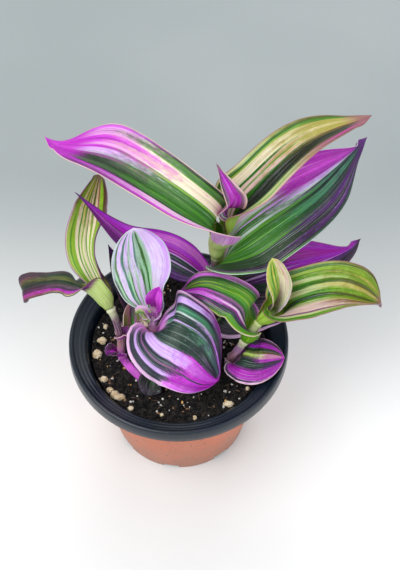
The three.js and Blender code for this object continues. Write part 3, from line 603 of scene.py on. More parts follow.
        "far": [("purpleDark", -0.2), ("magentaDeep", 0.3), ("purpleDark", 1)],
        "tip": "violetDark", "rim": "plum",
    },
    # a dark green leaf lying low under another leaf; its near-black tones are painted shadow
    "front_basal": {
        "stem": "front", "node": 21.5, "sheath": 2.5, "side": -120, "ring": 3.3, "flare": 1.1,
        "wrap": (120, 80), "mid": [(-12.5, -22, 68.5), (-14, -26, 67.5), (-14.5, -30, 66)],
        "face": [(0.1, -0.2, 0.95), (0.1, -0.2, 0.95)], "width": 13, "widest": 0.4, "point": 0.9,
        "foldL": (5, 5), "curlL": (5, 5), "foldR": (5, 5), "curlR": (5, 5),
        "near": [("darkest", -0.3), ("dark", 0.2), ("black", 1)],
        "far": [("black", 0), ("purpleDark", 1)],
        "tip": "black", "rim": "slatePurple", "sheathTones": ("slate", "dark"),
    },
    "right_arched": {
        "stem": "right", "node": 38.5, "sheath": 6, "side": 180, "flare": 1.6, "wrap": (166, 145),
        "turn": 0.4, "mid": [(31.5, -0.8, 101.3), (13, 7.8, 104.6), (1, 9.8, 98.9)],
        "face": [(-0.1, -0.3, 0.9), (-0.3, -0.2, 0.9)], "width": 21.5, "widest": 0.4, "point": 0.9,
        "foldL": (-8, -14), "curlL": (-13, -11), "foldR": (-9, 13), "curlR": (-16, 2), "waveL": (0.7, -0.6),
        "waveR": (-0.9, -1.2),
        "near": [("lime", -0.9), ("leaf", -0.68), ("slate", -0.5), ("magentaDeep", -0.4), ("pinkPale", -0.3),
                 ("slate", -0.2), ("mauve", -0.08), ("green", 0.04), ("leaf", 0.2), ("lime", 0.28),
                 ("leaf", 0.42), ("lime", 0.5), ("leaf", 0.62), ("green", 0.76), ("mauve", 0.9),
                 ("pink", 1)],
        "far": [("lime", -0.93), ("slatePurple", -0.78), ("magentaDeep", -0.6), ("slate", -0.5),
                ("pink", -0.26), ("magenta", -0.06), ("dark", 0.06), ("leaf", 0.18), ("lime", 0.22),
                ("green", 0.34), ("lime", 0.4), ("green", 0.55), ("dark", 0.72), ("pink", 0.9),
                ("mauve", 1)],
        "tipFrom": 0.9, "rim": "creamPink", "under": "magentaDeep", "sheathTones": ("lime", "leaf"),
    },
    "right_long": {
        "stem": "right", "node": 51.5, "sheath": 9, "side": 0, "ring": 2.8, "flare": 2, "wrap": (166, 155),
        "turn": 0.35, "mid": [(57.5, -2, 107), (74, 0, 109.5), (96.5, 0.5, 101)],
        "face": [(0, -0.45, 0.9), (0.1, -0.4, 0.9)], "width": 36, "widest": 0.48, "point": 0.7,
        "foldL": (30, 21), "curlL": (25, 12), "foldR": (38, 55), "curlR": (29, 44), "waveL": (-0.8, -0.4),
        "waveR": (0.2, 0.5),
        "near": [("paleLime", -0.94), ("green", -0.84), ("paleLime", -0.74), ("leaf", -0.6),
                 ("creamGreen", -0.5), ("leaf", -0.44), ("green", -0.34), ("creamGreen", -0.2),
                 ("leaf", -0.08), ("dark", 0.02), ("leaf", 0.1), ("creamGreen", 0.24), ("creamPink", 0.6),
                 ("mauve", 0.68), ("creamGreen", 0.8), ("leaf", 1)],
        "far": [("olive", -0.9), ("lime", -0.7), ("straw", -0.62), ("lime", -0.5), ("olive", -0.36),
                ("straw", -0.22), ("lime", -0.08), ("olive", 0.02), ("lime", 0.2), ("straw", 0.3),
                ("brownPink", 0.46), ("creamPink", 0.62), ("brownPink", 0.8), ("lime", 1)],
        "tip": "brownPink", "tipFrom": 0.9, "rim": "brownPink", "under": "mauve", "underMix": 0.7,
        "sheathTones": ("paleLime", "lime"), "rimWidth": 0.02, "blush": ("straw", 0.4, 0.8, 0.7),
    },
    "right_young": {
        "stem": "right", "node": 58.5, "sheath": 2, "side": 70, "ring": 1.8, "wrap": (110, 110),
        "mid": [(47.6, -1, 116), (45.1, 1, 127.5), (43, 3.5, 132.5)],
        "face": [(0, -0.8, 0.6), (0, -0.9, 0.4)], "width": 15.5, "widest": 0.62, "point": 0.8,
        "foldL": (49, 16), "curlL": (38, 17), "foldR": (45, 18), "curlR": (55, 24), "waveL": (0, -0.1),
        "waveR": (0, -0.2),
        "near": [("lime", -0.8), ("leaf", -0.55), ("paleLime", -0.45), ("green", -0.38), ("lime", -0.12),
                 ("creamPink", 0.3), ("cream", 0.8), ("lilacWhite", 1)],
        "far": [("yellow", -0.8), ("paleLime", -0.6), ("leaf", -0.44), ("yellow", -0.3), ("leaf", -0.2),
                ("paleLime", 0), ("cream", 0.4), ("creamPink", 0.8), ("creamGreen", 1)],
        "tip": "yellow", "tipFrom": 0.93, "rim": "creamPink", "rimWidth": 0.02,
        "blush": ("straw", 0.6, 1, 0.5),
    },
    "right_oval": {
        "stem": "right", "node": 21.5, "sheath": 3, "side": -30, "ring": 3.1, "wrap": (166, 85),
        "mid": [(31.5, -12, 73.5), (37, -14, 74.5), (51.5, -15.5, 78.5)],
        "face": [(0, -0.35, 0.9), (0.1, -0.35, 0.9)], "width": 27, "widest": 0.36, "point": 0.7,
        "foldL": (-13, -3), "curlL": (-29, -17), "foldR": (15, 18), "curlR": (-6, -5), "waveL": (-0.1, 0),
        "waveR": (0.3, 0),
        "near": [("pinkPale", -0.95), ("slatePurple", -0.66), ("violet", -0.5), ("dark", -0.34),
                 ("olive", -0.24), ("paleLime", -0.12), ("olive", -0.06), ("purpleDark", 0),
                 ("tealDark", 0.4), ("magentaDeep", 0.5), ("magenta", 0.84), ("purpleDark", 0.93),
                 ("pinkPale", 1)],
        "far": [("pinkPale", -0.95), ("purpleDark", -0.78), ("magenta", -0.5), ("dark", -0.36),
                ("olive", -0.2), ("creamPink", 0), ("hotPink", 0.15), ("slate", 0.32), ("violetDark", 0.46),
                ("magenta", 0.88), ("pinkPale", 1)],
        "tipFrom": 0.93, "rim": "creamPink", "sheathTones": ("pinkPale", "plum"),
        "blush": ("magenta", 0.35, 0.8, 0.6), "rimWidth": 0.02,
    },
}

scraps = {  # small growths that have no solid: a curled bract and a dry stub in front, a bud scale on top
    "bract": {
        "stem": "front", "node": 57, "sheath": 2, "side": 195, "ring": 2.6, "wrap": (60, 60),
        "mid": [(-15.6, -8.2, 108), (-17.8, -8.6, 109.6), (-19.2, -9, 107.6)],
        "face": [(0.3, -0.6, 0.8), (-0.5, -0.6, 0.6)], "width": 6, "widest": 0.4, "point": 0.8,
        "foldL": (30, 30), "curlL": (40, 60), "foldR": (30, 30), "curlR": (40, 60),
        "near": [("creamGreen", -0.4), ("leaf", -0.2), ("creamPink", 0.2), ("pink", 0.6), ("creamGreen", 1)],
        "far": [("leaf", -0.3), ("creamGreen", 0.3), ("pinkPale", 1)],
        "tip": "creamGreen", "under": "pinkPale",
    },
    "stub": {
        "stem": "front", "node": 51, "sheath": 2, "side": 205, "ring": 2.9, "wrap": (55, 50),
        "mid": [(-16.6, -9.6, 101.5), (-18, -10.4, 100.5), (-18.4, -10.8, 98.4)],
        "face": [(0.2, -0.8, 0.6), (-0.2, -0.9, 0.3)], "width": 4.4, "widest": 0.4, "point": 0.7,
        "foldL": (20, 20), "curlL": (30, 40), "foldR": (20, 20), "curlR": (30, 40),
        "near": [("cream", -0.2), ("brownPink", 0.1), ("cream", 1)],
        "far": [("cream", 0), ("brown", 1)],
        "tip": "brown", "rim": "brownPink", "under": "creamPink", "sheathTones": ("cream", "brownPink"),
    },
    "bud": {
        "stem": "main", "node": 77, "sheath": 5, "side": 200, "flare": 1.1, "wrap": (100, 90),
        "mid": [(18, 22, 132.5), (18, 21.7, 134.5), (18.6, 21.5, 136.5)],
        "face": [(0.2, -0.9, 0.3), (0.2, -0.9, 0.3)], "width": 9, "widest": 0.3, "point": 1.2,
        "foldL": (30, 20), "curlL": (30, 20), "foldR": (30, 20), "curlR": (30, 20),
        "near": [("leaf", -0.3), ("paleLime", 0.1), ("leaf", 1)],
        "far": [("paleLime", 0), ("leaf", 1)],
        "tip": "creamGreen", "under": "lime", "underDark": "paleLime", "rim": "cream",
        "sheathTones": ("lime", "paleLime"),
    },
}


def crossRow(middle, along, up, reach, fold, bend, ripple, back, v):
    across = np.cross(along, up)
    a = np.abs(v)
    right = v > 0
    rise = np.where(right, fold[1], fold[0])
    turn = np.where(right, bend[1], bend[0])
    turn = np.where(np.abs(turn) < 1e-4, 1e-4, turn)
    x = (np.sin(rise + turn * a) - np.sin(rise)) / turn * np.where(right, 1, -1) * reach
    wave = np.where(right, ripple[1], ripple[0])
    z = (np.cos(rise) - np.cos(rise + turn * a)) / turn * reach + wave * a * a
    shift = np.where(right, back[1], back[0]) * a * a * reach
    return middle + across * x[:, None] + up * z[:, None] + back[2] * shift[:, None]


def bladeReach(leaf, u, half, baseHalf):  # half the blade's width at u
    if u < leaf["widest"]:
        return half - (half - baseHalf) * (1 - u / leaf["widest"]) ** leaf["round"]
    x = (u - leaf["widest"]) / (1 - leaf["widest"])
    reach = half * (1 - x) ** leaf["point"] * (1 + leaf["point"] * x)
    return math.hypot(reach, blade["tipHalf"] * math.sqrt(max(1 - u, 0.02)))


def spreadRows(grid, ways, spots, leaf):  # keeps rows from crossing where the blade bends sharply
    middle = blade["columns"] // 2
    for i in range(1, len(grid)):
        if leaf["lobe"][0] and spots[i] < 0.5:  # the lobes lie back beyond the base
            continue
        way = unit(ways[i - 1] + ways[i])
        least = blade["crowd"] * np.linalg.norm(grid[i][middle] - grid[i - 1][middle])
        step = (grid[i] - grid[i - 1]) @ way
        grid[i] = grid[i] + way * np.maximum(least - step, 0)[:, None]


def easeLobe(grid, v):  # evens out the left lobe's first rows
    first, count = blade["sheathRows"], blade["lobeRows"]
    last = first + count
    ease = 0.5 * (np.minimum(v, 0) ** 2)[None, :, None] * np.linspace(1, 0, count)[:, None, None]
    for _ in range(blade["lobePasses"]):
        mean = (grid[first - 1:last - 1] + grid[first + 1:last + 1]) / 2
        grid[first:last] = grid[first:last] + (mean - grid[first:last]) * ease


def leafGrid(leaf):
    path = stems[leaf["stem"]]["path"]
    node, mouth, ring, flare = leaf["node"], leaf["node"] + leaf["sheath"], leaf["ring"], leaf["flare"]
    side = math.radians(leaf["side"])
    flat = np.array([math.cos(side), math.sin(side), 0])

    def outward(s):
        along = path.along(s)
        return unit(flat - along * (flat @ along))

    rib = Path([path.point(node) + outward(node) * ring, path.point(mouth) + outward(mouth) * ring * flare]
               + leaf["mid"])
    start = rib.knot(1)
    inward = -outward(mouth)
    looks = [unit(f) for f in leaf["face"]]
    wrapFoot, wrapMouth = [math.radians(w) for w in leaf["wrap"]]
    half = leaf["width"] / 2
    baseHalf = wrapMouth * ring * flare
    chord = unit(rib.point(start) - rib.point(rib.total))
    v = np.linspace(-1, 1, blade["columns"] + 1)
    grid, ways, spots = [], [], []
    for k in np.arange(blade["sheathRows"]) / blade["sheathRows"]:
        here = node + leaf["sheath"] * k
        wrap = wrapFoot + (wrapMouth - wrapFoot) * k
        wide = ring * (1 + (flare - 1) * k)
        snug = blade["sheathFoot"] + (wide - blade["sheathFoot"]) * smooth(-0.1, 0.35, k)
        middle = rib.point(start * k) - outward(here) * (wide - snug)
        along = path.along(here)
        flatRow, straight = (0, 0), (0, 0, chord)
        grid.append(crossRow(middle, along, -outward(here), wrap * snug, flatRow, (wrap, wrap), flatRow,
                             straight, v))
        ways.append(along)
        spots.append((k - 1) * 0.2)
    rows = int(round((rib.total - start) / blade["rowGap"]))
    beat = random.Random(leaf["node"] * 7 + leaf["side"])
    phases = [beat.uniform(0, 6.28) for _ in range(4)]
    for i in range(rows + 1):
        u = (i / rows) * (0.75 + 0.25 * i / rows)
        s = start + (rib.total - start) * u
        along = rib.along(s)
        late, turned = smooth(0.35, 1, u), smooth(0, leaf["turn"], u)
        look = unit(looks[0] * (1 - late) + looks[1] * late)
        up = unit(inward * (1 - turned) + look * turned)
        up = unit(up - along * (up @ along))
        reach = bladeReach(leaf, u, half, baseHalf)
        opened = smooth(0, leaf["opens"], u)
        curled = smooth(0, leaf["curls"] or leaf["opens"], u)
        tip = smooth(0.3, 1, u)
        slim = smooth(0, blade["flatTip"], reach)
        angle = [math.radians(a + (b - a) * tip) * slim * shown
                 for (a, b), shown in ((leaf["foldL"], opened), (leaf["foldR"], opened),
                                       (leaf["curlL"], curled), (leaf["curlR"], curled))]
        ease = min(1, blade["foldPerMm"] * reach / max(abs(angle[0] + angle[1]), 0.01))
        fold = (angle[0] * ease, angle[1] * ease)
        bend = [wrapMouth * (1 - opened) + a for a in angle[2:]]
        phase = 4 * math.pi * u
        swing = math.sqrt(max(math.sin(math.pi * u), 0))
        fine = [leaf["crinkle"] * swing * (math.sin(23 * u + p) + 0.6 * math.sin(47 * u + q))
                for p, q in (phases[:2], phases[2:])]
        ripple = [swing * (a * math.sin(phase) + b * math.cos(phase)) + 0.5 * opened * f
                  for (a, b), f in zip((leaf["waveL"], leaf["waveR"]), fine)]
        heart = smooth(0, 0.08, u) * (1 - smooth(0.05, 0.5, u))
        back = (leaf["lobe"][0] * heart, leaf["lobe"][1] * heart, chord)
        row = crossRow(rib.point(s), along, up, reach, fold, bend, ripple, back, v)
        trough = blade["groove"] * np.exp(-(v * reach / blade["grooveWidth"]) ** 2)
        pleats = blade["pleat"] * np.cos(v * math.pi * blade["pleats"]) * (1 - np.abs(v) ** 6)
        row -= up * ((trough - pleats) * smooth(0.02, 0.2, u) * (1 - smooth(0.85, 1, u)))[:, None]
        grid.append(row)
        ways.append(along)
        spots.append(u)
    spreadRows(grid, ways, spots, leaf)
    grid = np.array(grid)
    if leaf["lobe"][0]:
        easeLobe(grid, v)
    return grid, v, spots


def leafPaint(name, leaf, upper):
    paint = Paint("leaf" + name.title().replace("_", "") + ("Top" if upper else "Under"))
    across, along = paint.map("leafMap")
    seed = float(leaf["node"] + leaf["side"])
    drift = paint.grain(paint.vector(across * 5, along * 2.2, seed), 1.0, 2)
    streak = paint.grain(paint.vector(across * 24, along * 2.6, seed), 1.0, 2)
    fibre = paint.grain(paint.vector(across * 80, along * 4, seed), 1.0, 3, 0.6)
    fleck = paint.grain(paint.vector(across * 60, along * 26, seed), 1.0, 4, 0.7)
    hair = paint.grain(paint.vector(across * 130, along * 2, seed), 1.0, 1)
    v = across + (drift - 0.5) * 0.06 + (streak - 0.5) * 0.045 + (fibre - 0.5) * 0.03
    near, far = [paint.node("ShaderNodeValToRGB", {"stops": bandStops(leaf[part], -1, 1, 0.006)}, {0: v})
                 for part in ("near", "far")]
    start, end = leaf["change"]
    shift = along + (fleck - 0.5) * 0.45 + (streak - 0.5) * 0.5 + (drift - 0.5) * 0.25
    colour = paint.mix(paint.between(shift, start, end), near, far)
    # fine silver lines along the blade: partly the leaf's own silver lines, partly painted sheen
    colour = paint.mix(paint.between(hair, 0.56, 0.72, 0.0, leaf["lines"]), colour, "silver")
    dark = (0.22, 0.26, 0.2, 1.0)
    colour = paint.mix(paint.between(hair, 0.44, 0.30, 0.0, 0.4), colour, dark, "MULTIPLY")
    blotch = paint.grain(paint.vector(across * 7, along * 10, seed + 5), 1.0, 4, 0.7)
    tint, blushStart, blushEnd, strength = leaf["blush"]
    stained = paint.between(along + (blotch - 0.5) * 1.5, blushStart, blushEnd, 0.0, strength)
    colour = paint.mix(stained, colour, tint, "MULTIPLY")
    tipMask = paint.between(along + (fibre - 0.5) * 0.16, leaf["tipFrom"], min(leaf["tipFrom"] + 0.12, 1.0))
    colour = paint.mix(tipMask * 0.9, colour, leaf["tip"])
    edge = (across - 0.5).maths("ABSOLUTE") * 2 + (fibre - 0.5) * 0.03
    rim = paint.between(edge, 1 - leaf["rimWidth"] * 1.4, 1 - leaf["rimWidth"] * 0.5, 0.0, 0.85)
    colour = paint.mix(rim, colour, leaf["rim"])
    if not upper:
        mottle = paint.mix(paint.between(drift, 0.3, 0.7), leaf["under"], leaf["underDark"])
        colour = paint.mix(leaf["underMix"], colour, mottle)
    rib = paint.grain(paint.vector(across * 34, along * 1.5, seed), 1.0, 1)
    sheath = paint.mix(paint.between(rib, 0.36, 0.66), leaf["sheathTones"][0], leaf["sheathTones"][1])
    sheath = paint.mix(rim, sheath, leaf["rim"])
    start, end = (0.0, 0.07) if upper else leaf["sheathTo"]
    colour = paint.mix(paint.between(along + (streak - 0.5) * 0.08, start, end), sheath, colour)
    colour = paint.mix(paint.between(fibre, 0.45, 0.7, 0.0, 0.4), colour, (0.30, 0.34, 0.28, 1.0), "MULTIPLY")
    # small white flecks screened over the colour: painted sparkle highlights
    colour = paint.mix(paint.between(fleck, 0.56, 0.72, 0.0, 0.16), colour, "white", "SCREEN")
    colour = paint.node("ShaderNodeGamma", {}, {0: colour, 1: 1.2})
    height = fibre * 0.6 + fleck * 0.2 + hair * 0.2
    return paint.finish(colour=colour, rough=0.30 + 0.22 * fleck, normal=paint.bump(height, 0.0004, 0.9),
                        glow=0.12, glowScale=0.003, specular=0.42)


def makeLeaf(name, leaf, nodes):
    grid, v, spots = leafGrid(leaf)
    rows, columns = grid.shape[:2]
    down = np.gradient(grid, axis=0)
    over = np.gradient(grid, axis=1)
    normal = np.cross(over, down)
    normal /= np.maximum(np.linalg.norm(normal, axis=-1, keepdims=True), 1e-9)
    thick = blade["margin"] + (blade["middle"] - blade["margin"]) * (1 - np.abs(v) ** 2.5)
    shell = np.concatenate([(grid + normal * thick[None, :, None] * h / 2).reshape(-1, 3) for h in (1, -1)])
    uv = [((x + 1) / 2, w) for w in spots for x in v] * 2
    low = rows * columns
    faces, slots = [], []
    for i in range(rows - 1):
        for j in range(columns - 1):
            a, b = i * columns + j, i * columns + j + 1
            c, d = b + columns, a + columns
            faces += [(a, b, c, d), (a + low, d + low, c + low, b + low)]
            slots += [0, 1]
    loop = [i * columns for i in range(rows)] + [(rows - 1) * columns + j for j in range(1, columns)]
    loop += [i * columns + columns - 1 for i in range(rows - 2, -1, -1)] + list(range(columns - 2, 0, -1))
    for p, q in zip(loop, loop[1:] + loop[:1]):
        faces.append((p, q, q + low, p + low))
        slots.append(0)
    paints = [leafPaint(name, leaf, True), leafPaint(name, leaf, False)]
    piece = makePiece("leaf" + name.title().replace("_", ""), shell, faces, paints, slots, uv)
    settle(piece, nodes)


# Pot: a lip rolled out and down, a sloping flange, a tapering wall and a notched foot

pot = {
    "sides": 192, "notches": 8, "notchWidth": 9, "notchHeight": 3.4, "notchPhase": -98,
    "notchFrom": 31, "notchTo": 41, "drains": 6, "drainRadius": 3.5, "drainCircle": 22, "drainSides": 32,
    # radius, height, and 0 for charcoal or 1 for terracotta from there to the next
    "profile": [
        (0, 0, 1), (14, 0, 1), (15, 0.7, 1), (29, 0.7, 1), (30, 0, 1), (35, 0, 1), (35.7, 0.25, 1),
        (36, 0.8, 1), (37.4, 10, 1), (41.2, 33, 1), (45, 56, 1), (46.8, 67, 1), (47.1, 68.6, 0),
        (47.9, 69.7, 0), (51.6, 72, 0), (52.9, 72.3, 0), (53.5, 71.6, 0), (53.8, 68.3, 0), (54, 68.02, 0),
        (54.7, 68.02, 0), (54.98, 68.3, 0), (54.9, 70.5, 0), (54.62, 73.4, 0), (54.4, 74.2, 0),
        (54, 74.75, 0), (53.5, 74.98, 0), (53, 74.8, 0), (52.6, 74.2, 0), (52.2, 73.7, 0), (49.8, 72.4, 0),
        (47.2, 71, 0), (46.3, 70.2, 0), (45.8, 69.2, 0), (45.5, 67.4, 0), (43.9, 57, 0), (40, 33, 0),
        (35, 3, 0), (34.5, 2, 0), (33.8, 1.65, 0), (0, 1.65, 0),
    ],
}


def plasticPaint(name, inside):
    paint = Paint(name)
    place = paint.place()
    height = paint.parts(place)[2]
    cloud = paint.grain(place, 45, 4)
    grit = paint.grain(place, 900, 3, 0.6)
    if inside:
        colour = paint.mix(paint.between(cloud, 0.35, 0.7), "charcoal", (0.006, 0.011, 0.018, 1.0))
        dust = paint.between(grit + (cloud - 0.5) * 0.7, 0.60, 0.80, 0.0, 0.22)
        colour = paint.mix(dust, colour, (0.16, 0.18, 0.21, 1.0))
        rings = {"wave_type": "RINGS", "rings_direction": "Z"}
        spacing = {"Vector": place, "Scale": 170.0, "Distortion": 0.4}
        ridge = paint.node("ShaderNodeTexWave", rings, spacing, 1)
        ribs = grit * 0.3 + ridge * 0.7
        return paint.finish(colour=colour, rough=0.24 + 0.16 * cloud, normal=paint.bump(ribs, 0.00022, 0.6))
    colour = paint.mix(paint.between(cloud, 0.3, 0.7), "terracotta", (0.50, 0.15, 0.075, 1.0))
    pale = paint.between(grit + (cloud - 0.5) * 0.9, 0.56, 0.82, 0.0, 0.25)
    colour = paint.mix(pale, colour, (0.72, 0.42, 0.32, 1.0))
    # painted shade: the top of the terracotta wall darkens under the overhanging lip
    shade = paint.between(height, 0.062, 0.072, 0.0, 0.35)
    colour = paint.mix(shade, colour, (0.30, 0.10, 0.07, 1.0), "MULTIPLY")
    # darker towards the bottom of the wall
    mottle = paint.grain(place, 110, 4, 0.7)
    low = paint.between(height + (mottle - 0.5) * 0.06, 0.04, 0.0, 0.0, 0.7)
    colour = paint.mix(low, colour, (0.34, 0.17, 0.12, 1.0))
    specks = paint.grain(place, 520, 2, 0.4)
    colour = paint.mix(paint.between(specks, 0.66, 0.70, 0.0, 0.6), colour, (0.12, 0.055, 0.035, 1.0))
    return paint.finish(colour=colour, rough=0.42 + 0.2 * cloud, normal=paint.bump(grit, 0.00012, 0.7),
                        glow=0.15, glowScale=0.004)


def revolve(profile, sides):
    points, faces, slots, rows = [], [], [], []
    for r, z, _ in profile:
        rows.append([len(points) + k for k in range(1 if r == 0 else sides)])
        turns = [2 * math.pi * k / sides for k in range(len(rows[-1]))]
        points += [(r * math.cos(t), r * math.sin(t), z) for t in turns]
    for (low, high), (_, _, slot) in zip(zip(rows, rows[1:]), profile):
        for k in range(sides):
            n = (k + 1) % sides
            ring = [low[k % len(low)], low[n % len(low)], high[n % len(high)], high[k % len(high)]]
            faces.append(tuple(dict.fromkeys(ring)))
            slots.append(slot)
    return points, faces, slots


def boxPoints(x, y, z, turn):
    corners = [(a, b, c) for c in z for a, b in ((x[0], y[0]), (x[1], y[0]), (x[1], y[1]), (x[0], y[1]))]
    c, s = math.cos(turn), math.sin(turn)
    return [(p[0] * c - p[1] * s, p[0] * s + p[1] * c, p[2]) for p in corners]


def potCuts():  # boxes for the notches of the foot and cylinders for the drain holes
    points, faces = [], []
    boxFaces = [(0, 3, 2, 1), (4, 5, 6, 7), (0, 1, 5, 4), (1, 2, 6, 5), (2, 3, 7, 6), (3, 0, 4, 7)]
    for i in range(pot["notches"]):
        turn = math.radians(pot["notchPhase"] + 360 * i / pot["notches"])
        base = len(points)
        half = pot["notchWidth"] / 2
        reach = (pot["notchFrom"], pot["notchTo"])
        points += boxPoints(reach, (-half, half), (-1, pot["notchHeight"]), turn)
        faces += [tuple(base + k for k in face) for face in boxFaces]
    sides = pot["drainSides"]
    circle = [(math.cos(k * 2 * math.pi / sides), math.sin(k * 2 * math.pi / sides)) for k in range(sides)]
    for i in range(pot["drains"]):
        turn = 2 * math.pi * i / pot["drains"]
        x, y, r = pot["drainCircle"] * math.cos(turn), pot["drainCircle"] * math.sin(turn), pot["drainRadius"]
        base = len(points)
        points += [(x + r * c, y + r * s, z) for z in (-1, 4) for c, s in circle]
        faces += ringFaces(base, base + sides, sides)
        faces += [tuple(range(base, base + sides))[::-1], tuple(range(base + sides, base + 2 * sides))]
    return points, faces


def makePot():
    paints = [plasticPaint("potCharcoal", True), plasticPaint("potTerracotta", False)]
    points, faces, slots = revolve(pot["profile"], pot["sides"])
    piece = makePiece("nurseryPot", points, faces, paints, slots)
    points, faces = potCuts()
    cutter = makePiece("potCutter", points, faces, paints, [1] * len(faces), smoothShade=False)
    cut = piece.modifiers.new("cut", "BOOLEAN")
    cut.operation = "DIFFERENCE"
    cut.solver = "EXACT"
    cut.object = cutter
    bpy.context.view_layer.update()
    done = bpy.data.meshes.new_from_object(piece.evaluated_get(bpy.context.evaluated_depsgraph_get()))
    piece.modifiers.clear()
    piece.data = done
    bpy.data.objects.remove(cutter)
    piece.data.set_sharp_from_angle(angle=math.radians(50))
    settle(piece, ["pot"])


# Soil: a bed with loose crumbs, perlite, feed beads, bark, small stones and fibres

soil = {
    "top": 63, "bank": 2.2, "bankFrom": 33, "bankTo": 44, "rough": 1.15, "rings": 80, "sides": 200,
    "wallLow": (34.8, 2.4), "wallHigh": (45.4, 67.6), "gap": 0.35,  # radius and height inside the wall
    "crumbs": 3200, "crumbSize": (0.3, 1.35), "crumbReach": 43.3, "gritReach": 43,
    # name: how many, sizes, two tones
    "grit": {
        "perlite": (170, (0.22, 0.75), ((0.80, 0.78, 0.74, 1), (0.52, 0.50, 0.46, 1))),
        "feedBeads": (34, (0.35, 0.7), ((0.62, 0.30, 0.07, 1), (0.80, 0.52, 0.22, 1))),
        "bark": (60, (0.4, 1.1), ((0.16, 0.08, 0.04, 1), (0.30, 0.17, 0.09, 1))),
    },
    "fibres": 45, "fibreLength": (2, 6), "fibreReach": 42, "fibreSteps": 7, "fibreHalf": 0.11,
    # x, y and radius of each stone
    "stones": [(-44, -5.5, 2.5), (-35.6, -27.5, 1.7), (-32.3, -33.4, 2.5), (-37, -20, 2), (-31.5, -28.8, 1.9),
               (24.6, -34, 2.3), (-39.4, 3, 2.4), (-24, -38, 1.2), (8, -41, 1.2), (34, -25, 1.2),
               (-8, -39, 1), (-38, 12, 1.5)],
}


def wallRadius(z):
    (r1, z1), (r2, z2) = soil["wallLow"], soil["wallHigh"]
    return r1 + (r2 - r1) * (z - z1) / (z2 - z1)


def soilHeight(x, y):
    r = math.hypot(x, y)
    big = noise.noise(Vector((x * 0.07, y * 0.07, 1.3)))
    middle = noise.noise(Vector((x * 0.25, y * 0.25, 5.1)))
    fine = noise.fractal(Vector((x * 0.9, y * 0.9, 9.7)), 0.6, 2.1, 4)
    bank = soil["bank"] * smooth(soil["bankFrom"], soil["bankTo"], r)
    return soil["top"] + bank + 0.5 * big + soil["rough"] * (0.5 * middle + 0.45 * fine)


def lump(points, faces, place, size, dice, level=1, squash=0.75):
    ball = bmesh.new()
    bmesh.ops.create_icosphere(ball, subdivisions=level, radius=1)
    turn = Vector((dice.gauss(0, 1), dice.gauss(0, 1), dice.gauss(0, 1))).to_track_quat("Z", "Y")
    base = len(points)
    stretch = [size * dice.uniform(0.7, 1.3), size * dice.uniform(0.7, 1.3)]
    stretch.append(size * squash * dice.uniform(0.8, 1.2))
    for vertex in ball.verts:
        p = (turn @ vertex.co) * (1 + dice.uniform(-0.22, 0.22))
        points.append([place[i] + p[i] * stretch[i] for i in range(3)])
    faces += [tuple(base + vertex.index for vertex in face.verts) for face in ball.faces]
    ball.free()


def spot(dice, reach):  # a chance place on the soil
    r, t = reach * math.sqrt(dice.random()), dice.uniform(0, 6.283)
    return r * math.cos(t), r * math.sin(t)


def peatPaint():
    paint = Paint("peat")
    place = paint.place()
    clod = paint.grain(place, 420, 5, 0.7)
    speck = paint.grain(place, 2100, 2, 0.5)
    # the near-black end falls in the hollows of the clod bump: painted shade over the peat's own tone
    hollowShade, dry = (0.003, 0.003, 0.0035, 1.0), (0.030, 0.025, 0.024, 1.0)
    colour = paint.mix(paint.between(clod, 0.38, 0.68), hollowShade, dry)
    colour = paint.mix(paint.between(speck, 0.64, 0.72, 0.0, 0.6), colour, (0.26, 0.19, 0.13, 1.0))
    return paint.finish(colour=colour, rough=0.92, normal=paint.bump(clod, 0.0011), specular=0.2)


def mineralPaint(name, tones, scale):
    paint = Paint(name)
    place = paint.place()
    cloud = paint.grain(place, scale, 3, 0.6)
    pits = paint.grain(place, scale * 5, 3, 0.6)
    colour = paint.mix(paint.between(cloud, 0.4, 0.6), tones[0], tones[1])
    colour = paint.mix(paint.between(pits, 0.6, 0.75, 0.0, 0.5), colour, (0.16, 0.11, 0.07, 1.0))
    return paint.finish(colour=colour, rough=0.75, normal=paint.bump(pits, 0.0003))


def makeSoilBed(dice):
    points, faces = [], []
    sides = soil["sides"]
    for i in range(soil["rings"] + 1):
        r = (wallRadius(62) - soil["gap"]) * i / soil["rings"]
        for k in range(sides):
            t = 2 * math.pi * (k + 0.5 * (i % 2)) / sides
            x, y = r * math.cos(t), r * math.sin(t)
            points.append((x, y, soilHeight(x, y)))
    for i in range(soil["rings"]):
        faces += [face[::-1] for face in ringFaces(i * sides, (i + 1) * sides, sides)]
    top = soil["rings"] * sides
    base = len(points)
    edge = [(wallRadius(z) - soil["gap"], z) for z in (58, 4)]
    for r, z in edge + [(wallRadius(4) - 2, 2.1)]:
        turns = [2 * math.pi * k / sides for k in range(sides)]
        points += [(r * math.cos(t), r * math.sin(t), z) for t in turns]
    for low, high in ((base, top), (base + sides, base), (base + 2 * sides, base + sides)):
        faces += ringFaces(low, high, sides)
    faces.append(tuple(base + 2 * sides + k for k in range(sides))[::-1])
    for _ in range(soil["crumbs"]):
        low, high = soil["crumbSize"]
        size = low + (high - low) * dice.random() ** 3
        x, y = spot(dice, soil["crumbReach"])
        lump(points, faces, (x, y, soilHeight(x, y) + 0.2 * size), size, dice)
    bed = makePiece("soilBed", points, faces, [peatPaint()], smoothShade=False)
    settle(bed, ["soil"])


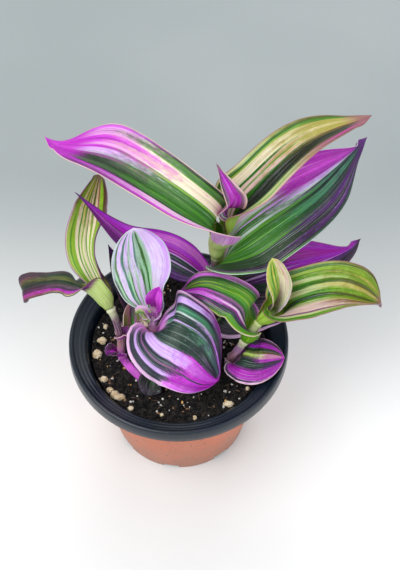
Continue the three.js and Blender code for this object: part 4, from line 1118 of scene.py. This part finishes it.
def makeGrit(dice):
    for name, (count, sizes, tones) in soil["grit"].items():
        points, faces = [], []
        for _ in range(count):
            x, y = spot(dice, soil["gritReach"])
            lump(points, faces, (x, y, soilHeight(x, y) + 0.35), dice.uniform(*sizes), dice, 2, 0.9)
        settle(makePiece(name, points, faces, [mineralPaint(name + "Paint", tones, 900)]), [])
    points, faces = [], []
    for x, y, r in soil["stones"]:
        reach = min(1, (wallRadius(61) - 0.4 - r) / math.hypot(x, y))
        x, y = x * reach, y * reach
        lump(points, faces, (x, y, soilHeight(x, y) + 0.3 * r), r * 0.9, dice, 3, 0.8)
    tones = ((0.80, 0.68, 0.48, 1), (0.56, 0.41, 0.24, 1))
    settle(makePiece("stones", points, faces, [mineralPaint("stoneTan", tones, 350)]), [])


def makeFibres(dice):
    points, faces = [], []
    steps = soil["fibreSteps"]
    for _ in range(soil["fibres"]):
        x, y = spot(dice, soil["fibreReach"])
        way, bend = dice.uniform(0, 6.283), dice.uniform(-0.8, 0.8)
        length = dice.uniform(*soil["fibreLength"])
        base = len(points)
        for i in range(steps):
            if math.hypot(x, y) < soil["gritReach"]:
                x += math.cos(way) * length / steps
                y += math.sin(way) * length / steps
            way += bend / steps
            z = soilHeight(x, y) + 0.45 + 0.5 * math.sin(i / (steps - 1) * math.pi)
            a, b = -math.sin(way) * soil["fibreHalf"], math.cos(way) * soil["fibreHalf"]
            points += [(x + a, y + b, z), (x, y, z + 0.2), (x - a, y - b, z), (x, y, z - 0.2)]
        for i in range(steps - 1):
            faces += ringFaces(base + 4 * i, base + 4 * i + 4, 4)
        faces += [(base, base + 3, base + 2, base + 1), tuple(base + 4 * (steps - 1) + k for k in range(4))]
    tones = ((0.10, 0.06, 0.035, 1), (0.20, 0.13, 0.08, 1))
    settle(makePiece("fibres", points, faces, [mineralPaint("fibreBrown", tones, 300)]), [])


makeCamera()
makeLights()
makeFloor()
print("studio made")
for stem in stems.values():
    stem["path"] = Path(stem["points"])
for name, stem in stems.items():
    makeStem(name, stem)
print("stems made")
for name, leaf in leaves.items():
    makeLeaf(name, {**leafBasics, **leaf}, ["leaf_" + name])
for name, scrap in scraps.items():
    makeLeaf(name, {**leafBasics, **scrap}, [])
print("leaves made")
makePot()
print("pot made")
dice = random.Random(11)
makeSoilBed(dice)
makeGrit(dice)
makeFibres(dice)
print("soil made")
